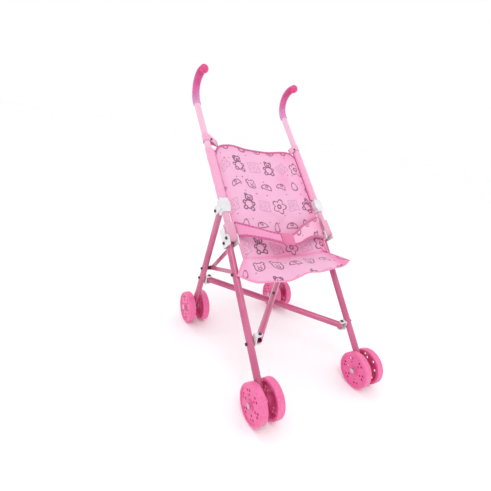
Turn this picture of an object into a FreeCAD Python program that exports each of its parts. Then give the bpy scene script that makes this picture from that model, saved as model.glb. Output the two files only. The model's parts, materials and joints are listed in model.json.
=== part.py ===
import FreeCAD, Part
import math
import os
import Sketcher

# Doll stroller with an umbrella-style folding frame. Millimetres, +Z up, the front faces -Y.
# The origin is on the floor, under the middle of the bounding box, so the wheels stand ahead of it.
# "right" is the pusher's right hand (-X), "left" is +X. Each side frame lies in one plane:
# a handle tube P, a front leg F pinned to P's lower end, and a rear leg R pinned behind P.

os.makedirs("parts", exist_ok=True)
doc = FreeCAD.newDocument("doll_stroller")
Vec = FreeCAD.Vector

# ---------------------------------------------------------------- driving sizes
sizes = doc.addObject("Spreadsheet::Sheet", "Sizes")
DRIVING = [
    # overall frame
    ("half_track", 118),        # leg plane to the stroller's middle plane
    ("half_wheelbase", 156),    # axle to the point halfway between the axles
    ("lean", 46.6),             # handle tube from upright, degrees
    ("pivot_back", 22),         # front-leg pivot behind that halfway point
    ("pivot_height", 257),
    ("ear_up", 67.4),           # rear-leg pivot, along the handle tube from the front-leg pivot
    ("ear_back", 17.5),         # rear-leg pivot, square to the handle tube
    # tubes
    ("tube_dia", 13.5),
    ("tube_wall", 1),
    ("bar_dia", 13.2),
    ("handle_straight", 333),   # pivot to the start of the hook
    ("hook_radius", 40),
    ("hook_turn", 131),         # degrees
    ("leg_gap", 0.65),          # front leg behind the block at the handle's foot
    ("front_leg_start", -3),    # down the leg from its pivot
    ("rear_leg_start", -4.5),
    ("leg_past_axle", 10),
    ("bar_past_pin", 3.6),
    # wheels
    ("wheel_dia", 70),
    ("wheel_width", 15),
    ("face_dip", 1.2),          # how far a wheel's outer face lies inside its rim
    ("web_thick", 2.6),
    ("rim_wall", 5.5),
    ("rim_round", 2.6),
    ("hub_dia", 19),
    ("boss_dia", 16),
    ("hub_proud", 0.8),
    ("axle_dia", 5),
    ("lace_hole", 5),
    ("lace_across", 3.6),       # each group's two outer holes, to each side of its spoke line
    ("lace_outer", 3.9),        # the same holes, outside the web's middle
    ("lace_inner", 3.4),        # its third hole, inside the web's middle
    ("spacer_dia", 11),
    ("spacer_long", 0.85),      # bush between the leg tube and each wheel's boss
    ("axle_head", 9),
    ("axle_head_thick", 1.6),
    # fits
    ("turn_fit", 0.06),         # radial clearance of every turning pin
    ("side_gap", 0.4),          # between plates that turn past each other
    # white plastic fittings
    ("block_half", 8),          # half thickness across the leg plane
    ("block_deep", 7.6),        # half depth in the leg plane, and the rounded end's radius
    ("block_long", 30),
    ("socket_start", 9),
    ("cheek_thick", 2),
    ("cheek_low", 14),          # clevis cheeks, down the leg from the pivot
    ("cheek_high", 24),         # and up from it
    ("cheek_front", 4),
    ("clamp_screw", 5),         # clevis screw, down the leg from the pivot
    ("ear_wide", 16),
    ("sleeve_half", 8.8),
    ("sleeve_long", 30),
    ("yoke_base", 2),
    ("yoke_arm", 2.4),
    ("yoke_long", 13),
    ("yoke_narrow", 1.5),       # each arm's edges inside the base plate's
    ("pin_clear", 7.85),        # cross-bar pin inside the yoke's plate
    ("pin_head", 1.4),
    # screws and pins
    ("screw_dia", 4),
    ("screw_head", 6.2),
    ("screw_head_thick", 2),
    ("bush_dia", 8.5),
    # flat side members
    ("strap_thick", 3),
    ("strap_wide", 10),
    ("strap_step", 0.8),        # straight edges inside the round ends'
    ("link_on_leg", 149),     # side link's pin, down the rear leg from its pivot
    ("link_on_front", 67),      # side link's pin, down the front leg
    ("strut_long", 128),
    ("bar_on_rear", 176),       # cross-bar bracket, down the rear leg
    ("bar_on_front", 190.9),    # cross-bar bracket, down the front leg
    ("bar_gap", 0.6),           # between the crossed bars
    # grip
    ("grip_dia", 17),
    ("grip_overlap", 6),
    ("grip_ball", 19),
    # cloth
    ("seat_half", 99),
    ("cloth_solid", 2.4),
    ("seat_low", 28),           # below the pivot, along the handle's line
    ("seat_top", 238),
    ("pan_long", 56),
    ("pan_drop", 16),           # pan from the back's line, degrees
    ("belt_wide", 20),
    ("belt_thick", 1.6),
    ("belt_radius", 171),
    ("belt_up", 14),            # belt's middle above the pivot, along the handle's line
    ("belt_layer", 2),          # from the right half's inner face to the left half's
    ("belt_inset", 2),          # belt ends inside the seat's edges
    ("belt_forward", 8),        # belt ends in front of the handle tubes' plane
    ("right_past", 2),          # each half's end, past the middle
    ("left_past", 16),
]
# These follow the tubes: a twin pair's pitch, middle to middle; the front leg's line behind the
# handle tube's; and the cross-bar pin's place inside the leg's axis.
FOLLOWING = [
    ("wheel_pitch", "=tube_dia + wheel_width + 2 * (spacer_long + hub_proud) + 3 * side_gap"),
    ("leg_offset", "=block_deep + tube_dia / 2 + leg_gap"),
    ("pin_inset", "=tube_dia / 2 + side_gap + yoke_base + pin_clear"),
]
for row, (alias, value) in enumerate(DRIVING + FOLLOWING, start=1):
    sizes.set(f"A{row}", alias)
    sizes.set(f"B{row}", str(value))
    sizes.setAlias(f"B{row}", alias)
doc.recompute()


def size(alias):
    return float(getattr(sizes, alias))


# ---------------------------------------------------------------- the side frame's geometry
# In a side plane, "down" angles are measured forwards from straight down.
lean = math.radians(size("lean"))
WHEEL_R = size("wheel_dia") / 2
TUBE_R = size("tube_dia") / 2
UP_HANDLE = Vec(0, math.sin(lean), math.cos(lean))
BEHIND_HANDLE = Vec(0, math.cos(lean), -math.sin(lean))
FRONT_REACH = size("half_wheelbase") + WHEEL_R
BACK_REACH = (size("pivot_back") + UP_HANDLE.y * size("handle_straight")
              + (1 - BEHIND_HANDLE.y) * size("hook_radius") + size("grip_dia") / 2)
MIDDLE = (BACK_REACH - FRONT_REACH) / 2
PIVOT = Vec(0, size("pivot_back") - MIDDLE, size("pivot_height"))
EAR = PIVOT + UP_HANDLE * size("ear_up") + BEHIND_HANDLE * size("ear_back")
FRONT_AXLE = Vec(0, -size("half_wheelbase") - MIDDLE, WHEEL_R)
REAR_AXLE = Vec(0, size("half_wheelbase") - MIDDLE, WHEEL_R)

to_front = FRONT_AXLE - PIVOT
FRONT_LONG = math.sqrt(to_front.Length ** 2 - size("leg_offset") ** 2)
front_angle = math.atan2(-to_front.y, -to_front.z) + math.atan2(size("leg_offset"), FRONT_LONG)
DOWN_FRONT = Vec(0, -math.sin(front_angle), -math.cos(front_angle))
BEHIND_FRONT = Vec(0, math.cos(front_angle), -math.sin(front_angle))
FRONT_TOP = PIVOT + BEHIND_FRONT * size("leg_offset")

to_rear = REAR_AXLE - EAR
REAR_LONG = to_rear.Length
DOWN_REAR = to_rear / REAR_LONG
BEHIND_REAR = Vec(0, -DOWN_REAR.z, DOWN_REAR.y)

BAR_REAR = EAR + DOWN_REAR * size("bar_on_rear")
BAR_FRONT = FRONT_TOP + DOWN_FRONT * size("bar_on_front")
ALONG_BARS = (BAR_FRONT - BAR_REAR).normalize()
OVER_BARS = Vec(0, ALONG_BARS.z, -ALONG_BARS.y)
LINK_REAR = EAR + DOWN_REAR * size("link_on_leg")
LINK_FRONT = FRONT_TOP + DOWN_FRONT * size("link_on_front")
LINK_LONG = (LINK_FRONT - LINK_REAR).Length

SIDES = (("right", -1), ("left", 1))
made = []


def at_side(point, side):
    """The point moved into a side frame's plane."""
    return Vec(side * size("half_track"), point.y, point.z)


def frame(origin, x_dir, y_dir):
    """A placement with its own X and Y along the two directions."""
    return FreeCAD.Placement(origin, FreeCAD.Rotation(x_dir, y_dir, x_dir.cross(y_dir), "XYZ"))


# ---------------------------------------------------------------- sketch and feature helpers
def new_body(label, placement):
    body = doc.addObject("PartDesign::Body", label)
    body.Label = label
    body.Placement = placement
    made.append(body)
    return body


def origin_part(body, role):
    """One of the body's own planes or axes."""
    return next(f for f in body.Origin.OriginFeatures if f.Role == role)


def new_sketch(body, role="XY_Plane", lift=None):
    """An empty sketch on one of the body's planes, lifted along the plane's normal."""
    sketch = body.newObject("Sketcher::SketchObject", body.Label + "_sketch")
    sketch.AttachmentSupport = [(origin_part(body, role), "")]
    sketch.MapMode = "FlatFace"
    if lift:
        sketch.setExpression(".AttachmentOffset.Base.z", sizes_in(lift))
    return sketch


def sizes_in(words):
    """Spreadsheet names inside a formula become references to the sheet."""
    for alias in sorted((a for a, _ in DRIVING + FOLLOWING), key=len, reverse=True):
        words = replace_word(words, alias)
    return words


def replace_word(words, alias):
    out = ""
    rest = words
    while alias in rest:
        head, rest = rest.split(alias, 1)
        before = (out + head)[-1:] or " "
        after = rest[:1] or " "
        whole = not (before.isalnum() or before in "._") and not (after.isalnum() or after == "_")
        out += head + ("Sizes." + alias if whole else alias)
    return out + rest


def bind(sketch, kind, *items, value):
    index = sketch.addConstraint(Sketcher.Constraint(kind, *items, 1.0))
    sketch.setExpression(f"Constraints[{index}]", sizes_in(value))


def add_circle(sketch, x, y, diameter):
    """A circle whose centre and diameter follow formulas; "0" puts it on an axis."""
    circle = sketch.addGeometry(Part.Circle(Vec(1, 1, 0), Vec(0, 0, 1), 1.0))
    for kind, point_kind, words in (("DistanceX", 1, x), ("DistanceY", 1, y)):
        if words == "0":
            axis = -2 if kind == "DistanceX" else -1
            sketch.addConstraint(Sketcher.Constraint("PointOnObject", circle, 3, axis))
        else:
            bind(sketch, kind, -1, 1, circle, 3, value=words)
    bind(sketch, "Diameter", circle, value=diameter)


def add_box(sketch, x_low, x_high, y_low, y_high):
    """An upright rectangle between four lines whose places follow formulas."""
    corners = [Vec(-1, -1, 0), Vec(1, -1, 0), Vec(1, 1, 0), Vec(-1, 1, 0)]
    lines = [sketch.addGeometry(Part.LineSegment(corners[i], corners[(i + 1) % 4])) for i in range(4)]
    for i, line in enumerate(lines):
        sketch.addConstraint(Sketcher.Constraint("Coincident", line, 2, lines[(i + 1) % 4], 1))
        sketch.addConstraint(Sketcher.Constraint("Horizontal" if i % 2 == 0 else "Vertical", line))
    bind(sketch, "DistanceX", -1, 1, lines[0], 1, value=x_low)
    bind(sketch, "DistanceX", -1, 1, lines[0], 2, value=x_high)
    bind(sketch, "DistanceY", -1, 1, lines[0], 1, value=y_low)
    bind(sketch, "DistanceY", -1, 1, lines[2], 1, value=y_high)


def pad(body, sketch, length, middle=True, backwards=False):
    feature = body.newObject("PartDesign::Pad", body.Label + "_pad")
    feature.Profile = sketch
    feature.Midplane = middle
    feature.Reversed = backwards
    feature.setExpression("Length", sizes_in(length))
    body.Tip = feature
    return feature


def pocket(body, sketch, length=None):
    """A cut to both sides of the sketch, through everything unless a length is given."""
    feature = body.newObject("PartDesign::Pocket", body.Label + "_pocket")
    feature.Profile = sketch
    feature.Midplane = True
    if length:
        feature.setExpression("Length", sizes_in(length))
    else:
        feature.Length = 400
    body.Tip = feature
    return feature


def pad_box(body, across_x, across_y, length, lift=None):
    sketch = new_sketch(body, lift=lift)
    add_box(sketch, *across_x, *across_y)
    return pad(body, sketch, length)


def pad_disc(body, x, y, diameter, length, lift=None):
    sketch = new_sketch(body, lift=lift)
    add_circle(sketch, x, y, diameter)
    return pad(body, sketch, length)


def cut_hole(body, x, y, diameter, length=None, lift=None, role="XY_Plane"):
    sketch = new_sketch(body, role, lift)
    add_circle(sketch, x, y, diameter)
    return pocket(body, sketch, length)


def revolve(body, sketch, angle, axis="V_Axis"):
    feature = body.newObject("PartDesign::Revolution", body.Label + "_turn")
    feature.Profile = sketch
    feature.ReferenceAxis = (sketch, [axis])
    feature.setExpression("Angle", sizes_in(angle))
    body.Tip = feature
    return feature


# ---------------------------------------------------------------- handle tube, grip and tip
# The tube runs straight from the pivot block to the hook, then bends forwards in its own plane.
# Body frame: Z up the straight tube, X towards the hook's centre, origin at the hook's centre.
def hook_frame(side):
    start = PIVOT + UP_HANDLE * size("handle_straight")
    centre = at_side(start - BEHIND_HANDLE * size("hook_radius"), side)
    return frame(centre, BEHIND_HANDLE * -1, Vec(1, 0, 0))


def hook_ring(body, outer, inner):
    sketch = new_sketch(body)
    add_circle(sketch, "-hook_radius", "0", outer)
    add_circle(sketch, "-hook_radius", "0", inner)
    return sketch


def handle_tube(name, side):
    body = new_body(name + "_handle_tube", hook_frame(side))
    bore = "tube_dia - 2 * tube_wall"
    ring = hook_ring(body, "tube_dia", bore)
    pad(body, ring, "handle_straight - socket_start", middle=False, backwards=True)
    revolve(body, hook_ring(body, "tube_dia", bore), "hook_turn")
    return body


def handle_grip(name, side):
    body = new_body(name + "_grip", hook_frame(side))
    pad(body, hook_ring(body, "grip_dia", "tube_dia"), "grip_overlap", middle=False, backwards=True)
    revolve(body, hook_ring(body, "grip_dia", "tube_dia"), "hook_turn")
    return body


def grip_tip(name, side):
    """A ball-shaped plug on the hook's end, cut flat where it meets the tube and the grip."""
    end_angle = math.radians(size("hook_turn"))
    place = hook_frame(side)
    from_centre = Vec(-math.cos(end_angle), 0, math.sin(end_angle))
    end = place.multVec(from_centre * size("hook_radius"))
    onward = place.Rotation.multVec(Vec(math.sin(end_angle), 0, math.cos(end_angle)))
    body = new_body(name + "_grip_tip", frame(end, Vec(1, 0, 0), Vec(1, 0, 0).cross(onward) * -1))
    sketch = new_sketch(body, "XZ_Plane")
    radius = size("grip_ball") / 2
    ball = Part.Circle(Vec(0, 0, 0), Vec(0, 0, 1), radius)
    arc = sketch.addGeometry(Part.ArcOfCircle(ball, 0, math.pi / 2))
    foot = sketch.addGeometry(Part.LineSegment(Vec(0, 0, 0), Vec(radius, 0, 0)))
    axis = sketch.addGeometry(Part.LineSegment(Vec(0, radius, 0), Vec(0, 0, 0)))
    sketch.addConstraint(Sketcher.Constraint("Coincident", arc, 3, -1, 1))
    sketch.addConstraint(Sketcher.Constraint("Coincident", foot, 1, -1, 1))
    sketch.addConstraint(Sketcher.Constraint("Coincident", foot, 2, arc, 1))
    sketch.addConstraint(Sketcher.Constraint("Coincident", axis, 1, arc, 2))
    sketch.addConstraint(Sketcher.Constraint("Coincident", axis, 2, -1, 1))
    sketch.addConstraint(Sketcher.Constraint("Horizontal", foot))
    sketch.addConstraint(Sketcher.Constraint("Vertical", axis))
    bind(sketch, "Radius", arc, value="grip_ball / 2")
    revolve(body, sketch, "360")
    return body


# ---------------------------------------------------------------- white fittings on the handle tube
# Body frame in a side plane: X up the handle, Y behind it, so Z is -X of the stroller.
def handle_plane(origin, side):
    return frame(at_side(origin, side), UP_HANDLE, BEHIND_HANDLE)


def pivot_block(name, side):
    """The socket on the handle tube's lower end. Its round end turns inside the leg clevis."""
    body = new_body(name + "_pivot_block", handle_plane(PIVOT, side))
    pad_disc(body, "0", "0", "2 * block_deep", "2 * block_half")
    pad_box(body, ("0", "block_long"), ("-block_deep", "block_deep"), "2 * block_half")
    bore = new_sketch(body, "YZ_Plane", lift="socket_start + block_long / 2")
    add_circle(bore, "0", "0", "tube_dia")
    pocket(body, bore, "block_long")
    cut_hole(body, "0", "0", "screw_dia")
    return body


def ear_bracket(name, side):
    """The sleeve on the handle tube with two ears behind it that carry the rear leg."""
    body = new_body(name + "_ear_bracket", handle_plane(PIVOT, side))
    ends = ("ear_up - sleeve_long / 2", "ear_up + sleeve_long / 2")
    pad_box(body, ends, ("-sleeve_half", "sleeve_half"), "2 * (block_half + side_gap)")
    for way in (1, -1):
        lift = f"{way} * (block_half + side_gap + cheek_thick / 2)"
        along = ("ear_up - ear_wide / 2", "ear_up + ear_wide / 2")
        pad_box(body, along, ("-sleeve_half", "ear_back"), "cheek_thick", lift)
        pad_disc(body, "ear_up", "ear_back", "ear_wide", "cheek_thick", lift)
    bore = new_sketch(body, "YZ_Plane", lift="ear_up")
    add_circle(bore, "0", "0", "tube_dia")
    pocket(body, bore, "sleeve_long + 2")
    cut_hole(body, "ear_up", "ear_back", "screw_dia")
    return body


# ---------------------------------------------------------------- legs
# Leg frames: X down the leg, Y behind it.
def leg_tube(label, top, down, behind, side, long, start, end, holes):
    """A round tube from start to end along the leg, cross-drilled for its pins."""
    body = new_body(label, frame(at_side(top, side), down, behind))
    sketch = new_sketch(body, "YZ_Plane")
    add_circle(sketch, "0", "0", "tube_dia")
    add_circle(sketch, "0", "0", "tube_dia - 2 * tube_wall")
    sketch.setExpression(".AttachmentOffset.Base.z", sizes_in(start))
    pad(body, sketch, f"{long} + ({end}) - ({start})", middle=False)
    for place, diameter in holes:
        cut_hole(body, place, "0", diameter)
    return body


def leg_clevis(name, side):
    """White channel on the front leg's top: two cheeks that straddle the pivot block."""
    body = new_body(name + "_leg_clevis", frame(at_side(PIVOT, side), DOWN_FRONT, BEHIND_FRONT))
    inside = "leg_offset + tube_dia / 2"
    outside = inside + " + cheek_thick"
    for way in (1, -1):
        lift = f"{way} * (block_half + side_gap + cheek_thick / 2)"
        pad_box(body, ("0", "cheek_low"), ("-block_deep", outside), "cheek_thick", lift)
        pad_disc(body, "0", "0", "2 * block_deep", "cheek_thick", lift)
        pad_box(body, ("-cheek_high", "0"), ("cheek_front", outside), "cheek_thick", lift)
    across = "2 * (block_half + side_gap) + cheek_thick"
    pad_box(body, ("-cheek_high", "cheek_low"), (inside, outside), across)
    cut_hole(body, "0", "0", "screw_dia + 2 * turn_fit")
    cut_hole(body, "clamp_screw", "leg_offset", "screw_dia")
    return body


# ---------------------------------------------------------------- screws
# Every screw lies along X. A group of screws that moves together is one node of separate solids.
head_out = size("block_half") + size("side_gap") + size("cheek_thick") + size("side_gap")
tube_out = TUBE_R + size("turn_fit")


def screws(label, origin, x_dir, y_dir, side, places):
    """places: (x, y, outer end, inner end, nut, bush), measured outwards from the leg plane.

    A bush is a sleeve around the shaft, from the leg tube inwards as far as its value says.
    """
    body_shapes = []
    outwards = Vec(side, 0, 0)
    for x, y, outer, inner, nut, bush in places:
        foot = at_side(origin + x_dir * x + y_dir * y, side)
        head_r = size("screw_head") / 2
        thick = size("screw_head_thick")
        shaft = Part.makeCylinder(size("screw_dia") / 2, outer - inner, foot + outwards * inner, outwards)
        head = Part.makeCylinder(head_r, thick, foot + outwards * outer, outwards)
        head = head.makeFillet(thick * 0.6, [head.Edges[0]])
        solid = shaft.fuse(head)
        if nut:
            solid = solid.fuse(Part.makeCylinder(head_r, thick, foot + outwards * inner, outwards * -1))
        if bush:
            tube_face = foot - outwards * tube_out
            collar = Part.makeCylinder(size("bush_dia") / 2, bush - tube_out, tube_face, outwards * -1)
            solid = solid.fuse(collar)
        body_shapes.append(solid.removeSplitter())
    feature = doc.addObject("Part::Feature", label)
    feature.Label = label
    feature.Shape = Part.makeCompound([solid for shape in body_shapes for solid in shape.Solids])
    made.append(feature)
    return feature


# ---------------------------------------------------------------- wheels and axles
def wheel(label, centre, way):
    """A moulded disc wheel: rim, thin web near its face away from the leg, groups of holes, and a hub.

    way is 1 or -1, the way along X from the leg to the wheel.
    """
    body = new_body(label, frame(centre, Vec(0, 1, 0), Vec(0, 0, 1)))
    disc = pad_disc(body, "0", "0", "wheel_dia", "wheel_width")
    doc.recompute()
    rims = [f"Edge{i + 1}" for i, edge in enumerate(disc.Shape.Edges) if len(edge.Vertexes) == 1]
    rounding = body.newObject("PartDesign::Fillet", label + "_round")
    rounding.Base = (disc, rims)
    rounding.setExpression("Radius", "Sizes.rim_round")
    body.Tip = rounding
    for face, deep in ((way, "face_dip"), (-way, "wheel_width - face_dip - web_thick")):
        recess = new_sketch(body, lift=f"{face} * wheel_width / 2")
        add_circle(recess, "0", "0", "wheel_dia - 2 * rim_wall")
        add_circle(recess, "0", "0", "hub_dia")
        pocket(body, recess, f"2 * ({deep})")
    pad_disc(body, "0", "0", "boss_dia", "wheel_width + 2 * hub_proud")
    cut_hole(body, "0", "0", "axle_dia + 2 * turn_fit")
    web_mid = "(wheel_dia / 2 - rim_wall + hub_dia / 2) / 2"
    outer_x = web_mid + " + lace_outer"
    for x, y in ((outer_x, "-lace_across"), (outer_x, "lace_across"), (web_mid + " - lace_inner", "0")):
        holes = cut_hole(body, x, y, "lace_hole")
        pattern = body.newObject("PartDesign::PolarPattern", label + "_pattern")
        pattern.Originals = [holes]
        pattern.Axis = (origin_part(body, "Z_Axis"), [""])
        pattern.Angle = 360
        pattern.Occurrences = 6
        body.Tip = pattern
    return body


def axle(label, centre):
    """A steel axle with a domed head outside each wheel of the pair."""
    body = new_body(label, frame(centre, Vec(0, 1, 0), Vec(0, 0, 1)))
    inside = "wheel_pitch + wheel_width + 2 * hub_proud + 2 * side_gap"
    pad_disc(body, "0", "0", "axle_dia", inside + " + axle_head_thick")
    for way in (1, -1):
        lift = f"{way} * (({inside}) / 2 + axle_head_thick / 2)"
        pad_disc(body, "0", "0", "axle_head", "axle_head_thick", lift)
    return body


def spacers(label, centre):
    """Two short bushes that keep the wheels clear of the leg."""
    body = doc.addObject("Part::Feature", label)
    body.Label = label
    inner = TUBE_R + size("side_gap") / 2
    outer = inner + size("spacer_long")
    rings = []
    for way in (1, -1):
        start = centre + Vec(way * inner, 0, 0)
        ring = Part.makeCylinder(size("spacer_dia") / 2, outer - inner, start, Vec(way, 0, 0))
        rings.append(ring.cut(Part.makeCylinder(size("axle_dia") / 2, outer - inner, start, Vec(way, 0, 0))))
    body.Shape = Part.makeCompound([ring.Solids[0] for ring in rings])
    made.append(body)
    return body


# ---------------------------------------------------------------- side link and lock strut
# Both lie inside the leg clevis and its nuts, so that they pass them as the frame folds.
LINK_START = "block_half + 3 * side_gap + cheek_thick + screw_head_thick"
LINK_LAYER = LINK_START + " + strap_thick / 2"
STRUT_LAYER = LINK_START + " + side_gap + 3 * strap_thick / 2"


def strap(label, start, end, side, layer, long, far_hole=True):
    """A flat strap with round ends, pinned at its start, inside the leg plane."""
    along = (end - start).normalize()
    body = new_body(label, frame(at_side(start, side), along, Vec(0, along.z, -along.y)))
    lift = f"{side} * ({layer})"
    pad_disc(body, "0", "0", "strap_wide", "strap_thick", lift)
    edges = ("-strap_wide / 2 + strap_step", "strap_wide / 2 - strap_step")
    pad_box(body, ("0", long), edges, "strap_thick", lift)
    pad_disc(body, long, "0", "strap_wide", "strap_thick", lift)
    cut_hole(body, "0", "0", "screw_dia + 2 * turn_fit")
    if far_hole:
        cut_hole(body, long, "0", "screw_dia + 2 * turn_fit")
    return body


# ---------------------------------------------------------------- cross bars and their brackets
# The two bars cross in the middle, one over the other, from a rear leg to the opposite front leg.
BAR_PIN_OUT = size("half_track") - size("pin_inset")
BAR_RUN = (BAR_FRONT - BAR_REAR).Length
BAR_LONG = math.hypot(BAR_RUN, 2 * BAR_PIN_OUT)
BAR_LIFT = (size("bar_dia") + size("bar_gap")) / 2
BAR_END = size("bar_past_pin")


def yoke(label, point, side, over):
    """A small U bracket: a plate against the leg and two arms above and below the bar."""
    centre = at_side(point, side) + OVER_BARS * over
    body = new_body(label, frame(centre, ALONG_BARS, OVER_BARS))
    half = "bar_dia / 2 + side_gap"
    base = "tube_dia / 2 + side_gap"
    inwards = side
    pad_box(body, ("-yoke_long / 2", "yoke_long / 2"), (f"-({half}) - yoke_arm", f"{half} + yoke_arm"),
            "yoke_base", f"{inwards} * ({base} + yoke_base / 2)")
    for way in (1, -1):
        arm = new_sketch(body, "XZ_Plane", lift=f"{way} * ({half} + yoke_arm / 2)")
        ends = (f"{inwards} * ({base})", f"{inwards} * (pin_inset + 1)")
        low, high = ends if inwards > 0 else ends[::-1]
        add_box(arm, "-yoke_long / 2 + yoke_narrow", "yoke_long / 2 - yoke_narrow", low, high)
        pad(body, arm, "yoke_arm")
        tip = new_sketch(body, "XZ_Plane", lift=f"{way} * ({half} + yoke_arm / 2)")
        add_circle(tip, "0", f"{inwards} * pin_inset", "yoke_long - 2 * yoke_narrow")
        pad(body, tip, "yoke_arm")
    pin_hole = new_sketch(body, "XZ_Plane")
    add_circle(pin_hole, "0", f"{inwards} * pin_inset", "screw_dia")
    pocket(body, pin_hole, "4 * bar_dia")
    leg_hole = new_sketch(body)
    leg_hole.setExpression(".AttachmentOffset.Base.z", sizes_in(f"{inwards} * ({base} + yoke_base / 2)"))
    add_circle(leg_hole, "0", f"{-over:.6f}", "screw_dia + 2 * turn_fit")
    pocket(body, leg_hole, "yoke_base + 1")
    return body


def yoke_pin(label, point, side, over):
    """The pin through a yoke's arms and the bar's end."""
    centre = at_side(point, side) + OVER_BARS * over - Vec(side * size("pin_inset"), 0, 0)
    reach = size("bar_dia") / 2 + size("side_gap") + size("yoke_arm")
    pin = doc.addObject("Part::Feature", label)
    pin.Label = label
    shaft = Part.makeCylinder(size("screw_dia") / 2, 2 * reach, centre - OVER_BARS * reach, OVER_BARS)
    head_r = size("screw_head") / 2
    head = Part.makeCylinder(head_r, size("pin_head"), centre + OVER_BARS * reach, OVER_BARS)
    foot = Part.makeCylinder(head_r, size("pin_head"), centre - OVER_BARS * reach, OVER_BARS * -1)
    pin.Shape = shaft.fuse(head).fuse(foot).removeSplitter()
    made.append(pin)
    return pin


def cross_bar(label, side, over):
    """A hollow bar from the rear leg on one side to the front leg on the other."""
    start = Vec(side * BAR_PIN_OUT, BAR_REAR.y, BAR_REAR.z) + OVER_BARS * over
    end = Vec(-side * BAR_PIN_OUT, BAR_FRONT.y, BAR_FRONT.z) + OVER_BARS * over
    along = (end - start).normalize()
    body = new_body(label, frame(start, along, OVER_BARS))
    sketch = new_sketch(body, "YZ_Plane")
    add_circle(sketch, "0", "0", "bar_dia")
    add_circle(sketch, "0", "0", "bar_dia - 2 * tube_wall")
    sketch.AttachmentOffset = FreeCAD.Placement(Vec(0, 0, -BAR_END), FreeCAD.Rotation())
    pad(body, sketch, f"{BAR_LONG + 2 * BAR_END:.6f}", middle=False)
    for place in ("0", f"{BAR_LONG:.6f}"):
        cut_hole(body, place, "0", "screw_dia + 2 * turn_fit", role="XZ_Plane")
    cut_hole(body, f"{BAR_LONG / 2:.6f}", "0", "screw_dia", role="XZ_Plane")
    return body



# ---------------------------------------------------------------- build both sides
link_start = head_out + size("screw_head_thick") + size("side_gap")
bush_end = link_start - size("side_gap")
straps_end = link_start + 2 * size("strap_thick") + 2 * size("side_gap")
fit = "screw_dia + 2 * turn_fit"
ear_head = head_out - size("side_gap")
front_holes = [
    ("clamp_screw", "screw_dia"),
    ("link_on_front", "screw_dia"),
    ("bar_on_front", "screw_dia"),
    (f"{FRONT_LONG:.6f}", "axle_dia"),
]
rear_holes = [
    ("0", fit),
    ("link_on_leg", "screw_dia"),
    ("bar_on_rear", "screw_dia"),
    (f"{REAR_LONG:.6f}", "axle_dia"),
]
for name, side in SIDES:
    handle_tube(name, side)
    handle_grip(name, side)
    grip_tip(name, side)
    pivot_block(name, side)
    ear_bracket(name, side)
    screws(name + "_handle_screws", PIVOT, UP_HANDLE, BEHIND_HANDLE, side, [
        (0, 0, head_out, -head_out, True, None),
        (size("ear_up"), size("ear_back"), ear_head, -ear_head, True, None),
    ])
    leg_tube(name + "_front_leg", FRONT_TOP, DOWN_FRONT, BEHIND_FRONT, side,
             f"{FRONT_LONG:.6f}", "front_leg_start", "leg_past_axle", front_holes)
    leg_clevis(name, side)
    screws(name + "_front_leg_screws", FRONT_TOP, DOWN_FRONT, BEHIND_FRONT, side, [
        (size("clamp_screw"), 0, ear_head, -ear_head, True, None),
        (size("link_on_front"), 0, tube_out, -bush_end, False, bush_end),
        (size("bar_on_front"), 0, tube_out, -TUBE_R, False, None),
    ])
    leg_tube(name + "_rear_leg", EAR, DOWN_REAR, BEHIND_REAR, side,
             f"{REAR_LONG:.6f}", "rear_leg_start", "leg_past_axle", rear_holes)
    screws(name + "_rear_leg_screws", EAR, DOWN_REAR, BEHIND_REAR, side, [
        (size("link_on_leg"), 0, tube_out, -straps_end, True, bush_end),
        (size("bar_on_rear"), 0, tube_out, -TUBE_R - size("side_gap") - size("yoke_base"), False, None),
    ])
    strap(name + "_side_link", LINK_REAR, LINK_FRONT, side, LINK_LAYER, f"{LINK_LONG:.6f}")
    strut_end = PIVOT + BEHIND_HANDLE * size("leg_offset")
    strap(name + "_lock_strut", LINK_REAR, strut_end, side, STRUT_LAYER, "strut_long", far_hole=False)
    for where, centre in (("front", FRONT_AXLE), ("rear", REAR_AXLE)):
        middle = at_side(centre, side)
        axle(f"{name}_{where}_axle", middle)
        spacers(f"{name}_{where}_spacers", middle)
        for place, way in (("outer", side), ("inner", -side)):
            wheel(f"{name}_{where}_{place}_wheel", middle + Vec(way * size("wheel_pitch") / 2, 0, 0), way)

# Each bar is named after the side of its rear end, and each yoke after the leg that it is on.
for name, other, side, over in (("right", "left", -1, -BAR_LIFT), ("left", "right", 1, BAR_LIFT)):
    cross_bar(name + "_cross_bar", side, over)
    yoke(name + "_rear_yoke", BAR_REAR, side, over)
    yoke(other + "_front_yoke", BAR_FRONT, -side, over)
    yoke_pin(name + "_rear_yoke_pin", BAR_REAR, side, over)
    yoke_pin(other + "_front_yoke_pin", BAR_FRONT, -side, over)

# The screw that joins the bars where they cross stays in the upper bar.
crossing = (BAR_FRONT + BAR_REAR) * 0.5 + OVER_BARS * BAR_LIFT
crossing_screw = doc.addObject("Part::Feature", "crossing_screw")
crossing_screw.Label = "crossing_screw"
half = size("bar_dia") / 2
shaft = Part.makeCylinder(size("screw_dia") / 2, 2 * half, crossing - OVER_BARS * half, OVER_BARS)
head_r = size("screw_head") / 2
top = Part.makeCylinder(head_r, size("screw_head_thick"), crossing + OVER_BARS * half, OVER_BARS)
crossing_screw.Shape = shaft.fuse(top).removeSplitter()
made.append(crossing_screw)


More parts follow.
